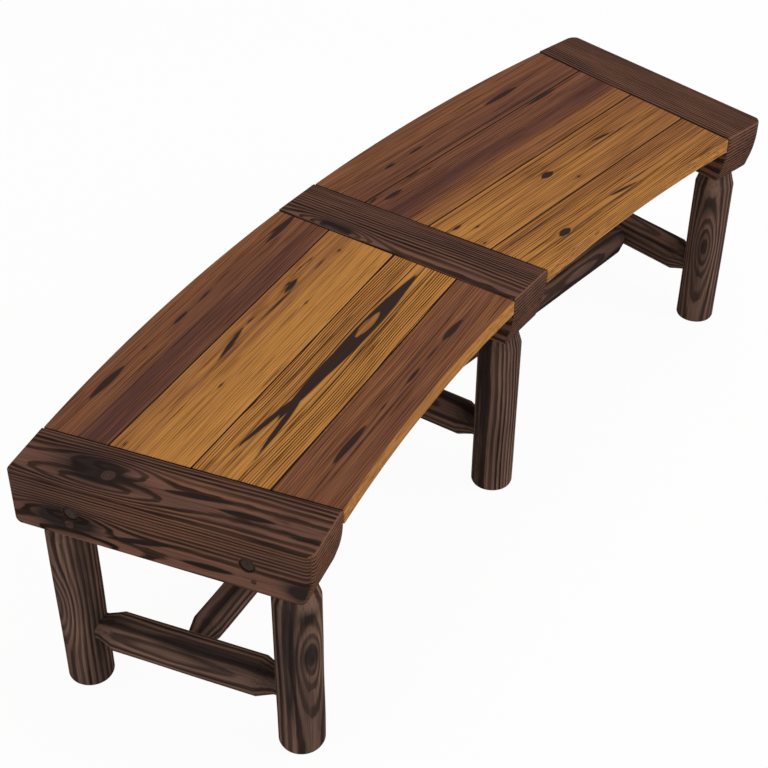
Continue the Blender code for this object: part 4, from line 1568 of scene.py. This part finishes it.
def leg_profile(radius, top):
    shoulder = BEAM_UNDERSIDE - FIT
    eased = FOOT_EASE * FOOT_ROUND
    foot = [(0, END_DISC), (0, radius - FOOT_EASE), (eased, radius - eased), (FOOT_EASE, radius)]
    cone = [(shoulder - LEG_CONE, radius), (shoulder, LEG_TENON_RADIUS + LEG_SHOULDER)]
    tenon = [(shoulder, LEG_TENON_RADIUS), (top, LEG_TENON_RADIUS), (top, END_DISC)]
    return foot + cone + tenon


def leg_socket(station, end, place, radius):
    low, high = measured(f"cross_stretcher_{station}", place)
    reach = (low[1] - FIT, radius + CUT_PAST) if end == "inner" else (-radius - CUT_PAST, high[1] + FIT)
    height = Matrix.Translation((0, 0, (low[2] + high[2]) / 2))
    return bore_tool(straight_bore(*reach, CROSS_TENON_RADIUS + FIT), height, Y_AXIS)


for station in STATIONS:
    for end in ENDS:
        node = f"leg_{station}_{end}"
        low, high = measured(node, station_frames[station])
        radius = (high[0] - low[0]) / 2
        place = station_frames[station] @ Matrix.Translation((0, (low[1] + high[1]) / 2, 0))
        profile = leg_profile(radius, high[2])
        mesh = turned_log(node, profile, LEG_TENON_RADIUS, Z_AXIS, LEG_SEED + len(finished))
        mesh = bored(mesh, [leg_socket(station, end, place, radius)])
        figure = LEG_FIGURES[f"{station}_{end}"]
        pattern = log_pattern(radius / MM, figure, LEG_SEED + SEED_STEP * len(finished))
        add_finished(node, mesh, place, "charred_log", GRAIN_ALONG_Z, pattern)
print(f"6 legs of {radius * 2 / MM:.0f} mm, {len(mesh.polygons)} faces each")

# %% [markdown]
# Stretchers keep the legs from spreading. A cross stretcher ties each pair of legs, and a thinner long
# one ties the cross stretchers of two beams. Each is a log with a cone and a tenon at both ends. The long
# ones meet the cross ones at a slant, because the beams fan out, so their sockets are bored along their
# own line.

# %% Shape the stretchers and bore their sockets
LONG_TENON_RADIUS, LONG_TENON = 17.5 * MM, 26 * MM


def stretcher_profile(half_length, radius, tenon_radius, tenon, cone):
    half = [(half_length, END_DISC), (half_length, tenon_radius), (half_length - tenon, tenon_radius),
            (half_length - tenon - cone, radius)]
    return [(-height, half_width) for height, half_width in half] + half[::-1]


long_places, long_halves = {}, {}
for section in SECTIONS:
    low, high = measured(f"long_stretcher_{section}", section_frames[section])
    long_places[section] = at_middle(section_frames[section], low, high)
    long_halves[section] = (high[0] - low[0]) / 2


def cross_sockets(station, place):
    tools = []
    for section, stations in SECTIONS.items():
        if station in stations:
            side = -1 if station == stations[0] else 1
            reach = long_halves[section] + FIT
            mouth = reach - LONG_TENON - CUT_PAST * 2
            socket = straight_bore(*sorted((side * mouth, side * reach)), LONG_TENON_RADIUS + FIT)
            tools.append(bore_tool(socket, place.inverted() @ long_places[section], X_AXIS))
    return tools


print("long stretchers of", [round(half * 2 / MM) for half in long_halves.values()], "mm over their tenons")

# %% [markdown]
# The three cross stretchers share one figure: a long oval, a dark band where the flame ran along the log,
# and two scorched places. Three sets of marks would hardly be seen, as one of them shows well and the
# others lie in the shade. So each is only turned a little further than the last.

# %% Place the cross stretchers
CROSS_CONE, CROSS_TENON = 27 * MM, 45 * MM
CROSS_HILLS = [(20, 0, 120, 14, -1.2)]
CROSS_SCORCH = [(0, -22, 400, 8, 0.7), (-150, 0, 30, 30, 0.5), (150, 10, 26, 20, 0.4)]
CROSS_WIDE_SIDE, CROSS_TURN = 150, -20
CROSS_SHAPE_SEED, CROSS_FIGURE_SEED = 300, 320

for number, station in enumerate(STATIONS):
    node = f"cross_stretcher_{station}"
    low, high = measured(node, station_frames[station])
    place = at_middle(station_frames[station], low, high)
    radius, half_length = (high[0] - low[0]) / 2, (high[1] - low[1]) / 2
    profile = stretcher_profile(half_length, radius, CROSS_TENON_RADIUS, CROSS_TENON, CROSS_CONE)
    mesh = turned_log(node, profile, CROSS_TENON_RADIUS, Y_AXIS, CROSS_SHAPE_SEED + number)
    mesh = bored(mesh, cross_sockets(station, place))
    wide_side = CROSS_WIDE_SIDE + CROSS_TURN * number
    figure = {"wide_side": wide_side, "hills": CROSS_HILLS, "scorch": CROSS_SCORCH}
    pattern = log_pattern(radius / MM, figure, CROSS_FIGURE_SEED + number)
    add_finished(node, mesh, place, "charred_rail", GRAIN_ALONG_Y, pattern)
print(f"3 cross stretchers, {half_length * 2 / MM:.0f} mm over their tenons")

# %% [markdown]
# The two long stretchers carry no sockets of their own. They are the thinnest logs, and lie in the shade
# under the seat, so one figure serves both. Each is only turned another way, as a joiner would turn a
# rail to hide its worst side.

# %% Place the long stretchers
LONG_CONE = 29 * MM
LONG_HILLS = [(-60, 0, 110, 20, -1.8), (170, 6, 80, 18, -1.4)]
LONG_SCORCH = [(0, 20, 500, 8, 0.6)]
LONG_WIDE_SIDE, LONG_TURN = 70, 80
LONG_SHAPE_SEED, LONG_FIGURE_SEED = 340, 350

for number, section in enumerate(SECTIONS):
    node = f"long_stretcher_{section}"
    low, high = measured(node, long_places[section])
    radius = high[2]
    profile = stretcher_profile(long_halves[section], radius, LONG_TENON_RADIUS, LONG_TENON, LONG_CONE)
    mesh = turned_log(node, profile, LONG_TENON_RADIUS, X_AXIS, LONG_SHAPE_SEED + number)
    wide_side = LONG_WIDE_SIDE + LONG_TURN * number
    figure = {"wide_side": wide_side, "hills": LONG_HILLS, "scorch": LONG_SCORCH}
    pattern = log_pattern(radius / MM, figure, LONG_FIGURE_SEED)
    add_finished(node, mesh, long_places[section], "charred_rail", GRAIN_ALONG_X, pattern)
print(f"2 long stretchers, {radius * 2 / MM:.0f} mm thick")

# %% [markdown]
# A cleat is a plain batten bolted along the side of a beam. The plank ends rest on it, and screws come up
# through it from below, so no fastener shows on the seat. The screw holes are counterbored, so that a
# short screw reaches through the batten. Straight holes would need longer screws, which could come out on
# top.

# %% Bore the cleats
SCREW_HEAD_RADIUS, SCREW_RECESS = 4.5 * MM, 12 * MM


def cleat_bores(section, seat_end, station, place, half):
    tools = []
    for end in ENDS:
        bolt_low, bolt_high = measured(f"bolt_{station}_{end}", place)
        spot = Matrix.Translation((0, (bolt_low[1] + bolt_high[1]) / 2, 0))
        bore = straight_bore(-half[0] - CUT_PAST, half[0] + CUT_PAST, BOLT_BORE)
        tools.append(bore_tool(bore, spot, X_AXIS))
    seat = SCREW_RECESS - half[2]
    hole = straight_bore(-half[2] - CUT_PAST, seat, SCREW_HEAD_RADIUS + FIT)
    hole += straight_bore(seat, half[2] + CUT_PAST, PILOT_RADIUS)
    for name in PLANK_SLOTS:
        screw_low, screw_high = measured(f"screw_{section}_{seat_end}_{name}", place)
        tools.append(bore_tool(hole, upright_axis(screw_low, screw_high), Z_AXIS))
    return tools


print(f"screw heads sit {SCREW_RECESS / MM:.0f} mm deep")

# %% [markdown]
# The battens are sawn from pale softwood and left bare, as hidden timber usually is. A cube would do for
# such a plain piece, but the panel helper gives it eased edges and a figure at no cost.

# %% Place the cleats
CLEAT_EASE = 2 * MM
CLEAT_STEPS = (90, 10)
CLEAT_FACE = {"heart": (-60, 500, 0.3)}
CLEAT_TONE, CLEAT_TONE_SWING, CLEAT_TONE_WAVES = 0.3, 0.12, (300, 40, 40)
CLEAT_WAVES, CLEAT_SEED = (300, 400, 400), 400


def cleat_pattern(seed):
    def pattern(grain, facing):
        along, across, up = grain.T
        numbers = face_numbers(along, across + up + waves(grain, seed, CLEAT_WAVES), CLEAT_FACE)
        numbers["tone"] += CLEAT_TONE + CLEAT_TONE_SWING * waves(grain, seed + TONE_SEED, CLEAT_TONE_WAVES)
        return numbers

    return pattern


for section in SECTIONS:
    for seat_end in SEAT_ENDS:
        node = f"cleat_{section}_{seat_end}"
        station = "middle" if seat_end == "middle" else section
        low, high = measured(node, station_frames[station])
        place = at_middle(station_frames[station], low, high)
        half = (high - low) / 2
        corners = [(-half[1], -half[2]), (half[1], -half[2]), (half[1], half[2]), (-half[1], half[2])]
        outline = corners, [CLEAT_EASE] * 4, [[], [], [], []], CLEAT_STEPS
        mesh = panel(node, outline, eased_levels(-half[0], half[0], CLEAT_EASE, PLANK_WALL_STEP), ON_EDGE)
        mesh = bored(mesh, cleat_bores(section, seat_end, station, place, half))
        pattern = cleat_pattern(CLEAT_SEED + len(finished))
        add_finished(node, mesh, place, "cleat_softwood", GRAIN_ALONG_Y, pattern)
print(f"4 cleats, {half[1] * 2 / MM:.0f} mm long")

# %% [markdown]
# Each bolt has a low round head, as a coach bolt has, and a rolled thread at its far end. A real thread
# is a groove that winds up the shank. A Screw modifier could wind it, but then it would have to be joined
# to the shank. Here it is only a ripple of the radius that climbs one pitch in each turn, so the mesh
# stays whole.

# %% Forge a bolt
BOLT_SIDES = 48
BOLT_ANGLES = round_angles(BOLT_SIDES)
SHANK_RADIUS = 5 * MM
HEAD_RADIUS, HEAD_RIM, HEAD_HEIGHT = 12.3 * MM, 1.5 * MM, 5 * MM
HEAD_ROWS, HEAD_CENTRE = 10, 0.05
THREAD_PITCH, THREAD_DEPTH, THREAD_LENGTH = 1.5 * MM, 0.8 * MM, 26 * MM
THREAD_STEP, THREAD_END = 0.3 * MM, 1 * MM
TIP_LENGTH, TIP_DRAWN_IN = 0.6 * MM, 1.3 * MM


def ripple(heights, pitch, depth):
    """A thread: how far each point lies below the crest of a spiral."""
    turn = (heights / pitch - BOLT_ANGLES / (2 * math.pi)) % 1
    return depth * np.abs(2 * turn - 1)


def spun_rows(rows):
    """Heights and radii at every angle, from rows of (height, radius or radii)."""
    heights, radii = zip(*rows)
    radii = np.array([np.broadcast_to(radius, BOLT_SIDES) for radius in radii])
    return all_round(heights, BOLT_SIDES), radii


def stacked(*parts):
    """The rows of several parts, one above the other."""
    return [np.concatenate(rows) for rows in zip(*parts)]


def bolt_mesh(name, length):
    """A bolt with its head at height zero and its tip at length."""
    dome = HEAD_HEIGHT - HEAD_RIM
    rows = [(dome * share**2, HEAD_RADIUS * share) for share in np.linspace(HEAD_CENTRE, 1, HEAD_ROWS)]
    rows += [(HEAD_HEIGHT, HEAD_RADIUS), (HEAD_HEIGHT, SHANK_RADIUS), (length - THREAD_LENGTH, SHANK_RADIUS)]
    screwed = np.arange(length - THREAD_LENGTH + THREAD_STEP, length - THREAD_END, THREAD_STEP)
    thread_heights = all_round(screwed, BOLT_SIDES)
    thread = SHANK_RADIUS - ripple(thread_heights, THREAD_PITCH, THREAD_DEPTH)
    tip = [(length - TIP_LENGTH, SHANK_RADIUS - THREAD_DEPTH), (length, SHANK_RADIUS - TIP_DRAWN_IN)]
    return spin(name, *stacked(spun_rows(rows), (thread_heights, thread), spun_rows(tip)), X_AXIS)


print(f"bolts of {SHANK_RADIUS * 2 / MM:.0f} mm with heads of {HEAD_RADIUS * 2 / MM:.1f} mm")

# %% [markdown]
# A nut is a chamfered hexagon. A chamfer on a hexagon is what a lathe leaves when it turns the corners
# off, so the radius at each angle is simply the smaller of the hexagon's and the cone's. A cylinder with
# six sides and a Bevel modifier would cut the flats too, where a real nut keeps them whole.

# %% Forge a nut and place the bolts and nuts
HEX_RADIUS, NUT_HEIGHT = 9.5 * MM, 8 * MM
HEX_FLAT = HEX_RADIUS * math.cos(math.pi / 6)
HEXAGON = HEX_FLAT / np.cos((BOLT_ANGLES % (math.pi / 3)) - math.pi / 6)
NUT_MOUTH, NUT_FACE, NUT_CONE = 0.8 * HEX_FLAT, 0.94 * HEX_FLAT, 1.03 * HEX_FLAT
CHAMFER_START, CHAMFER_END = 0.6 * MM, 1.4 * MM
TURNED_ROUND = Matrix.Rotation(math.pi, 4, "Z")


def nut_mesh(name):
    top = NUT_HEIGHT / 2
    half = [(top, NUT_MOUTH), (top, NUT_FACE), (top - CHAMFER_START, np.minimum(HEXAGON, NUT_CONE)),
            (top - CHAMFER_END, HEXAGON)]
    rows = [(-height, radius) for height, radius in half] + half[::-1]
    through = straight_bore(-NUT_HEIGHT, NUT_HEIGHT, SHANK_RADIUS + FIT)
    return bored(spin(name, *spun_rows(rows), X_AXIS), [bore_tool(through, Matrix(), X_AXIS)])


def steel_pattern(grain, facing):
    """Steel has no figure, so its finish needs no numbers of its own."""
    return {}


for station in STATIONS:
    for end in ENDS:
        node = f"bolt_{station}_{end}"
        low, high = measured(node, station_frames[station])
        head_x = low[0] if HEAD_SIDE[station] < 0 else high[0]
        head = (head_x, (low[1] + high[1]) / 2, (low[2] + high[2]) / 2)
        place = station_frames[station] @ Matrix.Translation(head)
        if HEAD_SIDE[station] > 0:
            place = place @ TURNED_ROUND
        mesh = bolt_mesh(node, high[0] - low[0])
        add_finished(node, mesh, place, "blackened_steel", GRAIN_ALONG_X, steel_pattern)
        node = f"nut_{station}_{end}"
        place = at_middle(station_frames[station], *measured(node, station_frames[station]))
        add_finished(node, nut_mesh(node), place, "blackened_steel", GRAIN_ALONG_X, steel_pattern)
print("6 bolts and 6 nuts")

# %% [markdown]
# Sixteen screws hold the planks down, one at each end of each plank. Only their pan heads can be seen,
# deep in the cleats, when the bench is turned over. Each head is a low dome with a cross pressed into it.
# The cross is made by sinking the vertices that fall inside its two arms, which is quicker than a cut.

# %% Make and place the screws
SCREW_CORE, SCREW_THREAD, SCREW_PITCH = 1.7 * MM, 0.6 * MM, 2 * MM
SCREW_HEAD, SCREW_NECK, SCREW_POINT = 3 * MM, 2 * MM, 5 * MM
SCREW_STEP, SCREW_TIP_RADIUS = 0.5 * MM, 0.1 * MM
CROSS_ARM, CROSS_HALF_WIDTH, CROSS_DEPTH = 2.4 * MM, 0.55 * MM, 1.3 * MM
DOME_ROWS, DOME_CENTRE, DOME_HEIGHT, DOME_ROUND = 9, 0.1, 1.6 * MM, 1.0001


def screw_head():
    """The dome of a screw head, with its face at height zero."""
    share = all_round(np.linspace(DOME_CENTRE, 1, DOME_ROWS), BOLT_SIDES)
    radii = SCREW_HEAD_RADIUS * share
    heights = DOME_HEIGHT * (1 - np.sqrt(DOME_ROUND - share**2))
    x, y = np.abs(radii * np.cos(BOLT_ANGLES)), np.abs(radii * np.sin(BOLT_ANGLES))
    in_cross = (np.minimum(x, y) < CROSS_HALF_WIDTH) & (np.maximum(x, y) < CROSS_ARM)
    return heights + CROSS_DEPTH * in_cross, radii


def screw_mesh(name, length):
    """A screw with its head's face at height zero and its point at length."""
    neck = spun_rows([(SCREW_HEAD, SCREW_HEAD_RADIUS), (SCREW_HEAD, SCREW_CORE)])
    along = all_round(np.arange(SCREW_HEAD + SCREW_NECK, length - SCREW_POINT, SCREW_STEP), BOLT_SIDES)
    thread = SCREW_CORE + SCREW_THREAD - ripple(along, SCREW_PITCH, SCREW_THREAD)
    tip = spun_rows([(length - SCREW_POINT, SCREW_CORE), (length, SCREW_TIP_RADIUS)])
    return spin(name, *stacked(screw_head(), neck, (along, thread), tip), Z_AXIS)


for section in SECTIONS:
    for seat_end in SEAT_ENDS:
        for name in PLANK_SLOTS:
            node = f"screw_{section}_{seat_end}_{name}"
            low, high = measured(node, section_frames[section])
            foot = ((low[0] + high[0]) / 2, (low[1] + high[1]) / 2, low[2])
            place = section_frames[section] @ Matrix.Translation(foot)
            mesh = screw_mesh(node, high[2] - low[2])
            add_finished(node, mesh, place, "zinc_steel", GRAIN_ALONG_Z, steel_pattern)
print(f"16 screws, {(high[2] - low[2]) / MM:.0f} mm long")

# %% [markdown]
# The bench stands in a plain white studio. A pale floor fills the view, and most of what the camera sees
# of it is light of its own, so that it stays white while the legs still lay a soft shadow on it. A shadow
# catcher would need a second picture behind it. The camera sees that light and so does a reflection, but
# it lights nothing.

# %% Lay the floor
FLOOR_SIZE, FLOOR_GAP = 14.0, 0.3 * MM
FLOOR_GLOW = 0.95
FLOOR_PAINT, WHITE = paint(240, 240, 239), paint(255, 255, 255)


def floor_finish():
    material, tree = new_finish("studio_floor")
    paths = add_node(tree, "ShaderNodeLightPath")
    seen = calc(tree, "MAXIMUM", paths.outputs["Is Camera Ray"], paths.outputs["Is Glossy Ray"])
    seen = calc(tree, "MAXIMUM", seen, paths.outputs["Is Transmission Ray"])
    lit = add_node(tree, "ShaderNodeBsdfDiffuse", {"Color": FLOOR_PAINT})
    glow = add_node(tree, "ShaderNodeEmission", {"Color": WHITE, "Strength": 1.0})
    share = calc(tree, "MULTIPLY", seen, FLOOR_GLOW)
    mixed = add_node(tree, "ShaderNodeMixShader", {0: share, 1: lit.outputs[0], 2: glow.outputs[0]})
    add_node(tree, "ShaderNodeOutputMaterial", {"Surface": mixed.outputs[0]})
    return material


floor_mesh = bpy.data.meshes.new("studio_floor")
reach = FLOOR_SIZE / 2
around_floor = ((-reach, -reach), (reach, -reach), (reach, reach), (-reach, reach))
floor_corners = [(x, y, -FLOOR_GAP) for x, y in around_floor]
floor_mesh.from_pydata(floor_corners, [], [(0, 1, 2, 3)])
floor_mesh.materials.append(floor_finish())
floor = bpy.data.objects.new("studio_floor", floor_mesh)
scene.collection.objects.link(floor)
floor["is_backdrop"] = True
print(f"floor of {FLOOR_SIZE:.0f} m")

# %% [markdown]
# Light for a product photo is broad and soft. The white room itself gives most of it. One big soft box
# stands in front on the right and above, a second one hangs over the seat, and a third lifts the left end
# out of the shade. A sun lamp would draw hard shadows under the seat. The strengths are kept so low that
# a colour comes out about as it was mixed.

# %% Light the studio
ROOM_PAINT, ROOM_STRENGTH = paint(255, 253, 250), 0.62
LAMPS = {
    "key_softbox": {"spot": (1.1, -2.6, 2.3), "size": 2.0, "power": 48.0},
    "top_softbox": {"spot": (0.3, 0.6, 2.8), "size": 2.4, "power": 9.0},
    "left_softbox": {"spot": (-3.2, 0.0, 1.2), "size": 2.0, "power": 13.0},
}

world = bpy.data.worlds.new("white_room")
scene.world = world
world.use_nodes = True
room = world.node_tree
room.nodes.clear()
paths = add_node(room, "ShaderNodeLightPath")
soft = add_node(room, "ShaderNodeBackground", {"Color": ROOM_PAINT, "Strength": ROOM_STRENGTH})
white = add_node(room, "ShaderNodeBackground", {"Color": WHITE, "Strength": 1.0})
seen = calc(room, "MAXIMUM", paths.outputs["Is Camera Ray"], paths.outputs["Is Transmission Ray"])
backdrop = add_node(room, "ShaderNodeMixShader", {0: seen, 1: soft.outputs[0], 2: white.outputs[0]})
add_node(room, "ShaderNodeOutputWorld", {"Surface": backdrop.outputs[0]})

seat_middle = Vector((0, 0, SEAT_TOP))
for name, box in LAMPS.items():
    lamp = bpy.data.lights.new(name, "AREA")
    lamp.size = box["size"]
    lamp.energy = box["power"]
    holder = bpy.data.objects.new(name, lamp)
    holder.location = box["spot"]
    holder.rotation_euler = (seat_middle - holder.location).to_track_quat("-Z", "Y").to_euler()
    scene.collection.objects.link(holder)
print(f"{len(LAMPS)} soft boxes and the room")

# %% [markdown]
# The camera looks down on the left end from above head height, with a long lens that keeps the fan of the
# beams gentle. It could be moved by eye until the picture fits, but a few pixels would always stay off.
# So its place was worked out from the straight edges of the beams and then fitted to the outline of the
# whole bench, with a small shift of the lens, as a view camera has. It is written from the ring centre
# and the seat, so that it would follow the bench.

# %% Place the camera
CAMERA_FROM_CENTRE, CAMERA_ABOVE_SEAT = (-1.9933, 2.0744), 1.5510
CAMERA_TURN = (49.8351, -0.2084, -55.5977)
CAMERA_LENS, CAMERA_SHIFT = 76.922, (0.00552, 0.07451)

lens = bpy.data.cameras.new("photo_camera")
lens.lens = CAMERA_LENS
lens.shift_x, lens.shift_y = CAMERA_SHIFT
camera = bpy.data.objects.new("photo_camera", lens)
aside, outwards = CAMERA_FROM_CENTRE
camera.location = (aside, ring_centre.y + outwards, SEAT_TOP + CAMERA_ABOVE_SEAT)
camera.rotation_euler = [math.radians(angle) for angle in CAMERA_TURN]
scene.collection.objects.link(camera)
scene.camera = camera
scene.view_settings.view_transform = "Standard"
print("camera", [round(value, 3) for value in camera.location])

# %% [markdown]
# Last, the box of the finished bench is measured and set beside the box of the frame. A look in the
# viewport would show a large slip, but the two boxes side by side show a small one too.

# %% Measure and finish
low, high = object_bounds()
{"cad": [list(cad_low), list(cad_high)], "visual": [list(low), list(high)]}
print("finished box", [round(side / MM, 1) for side in high - low], "mm")
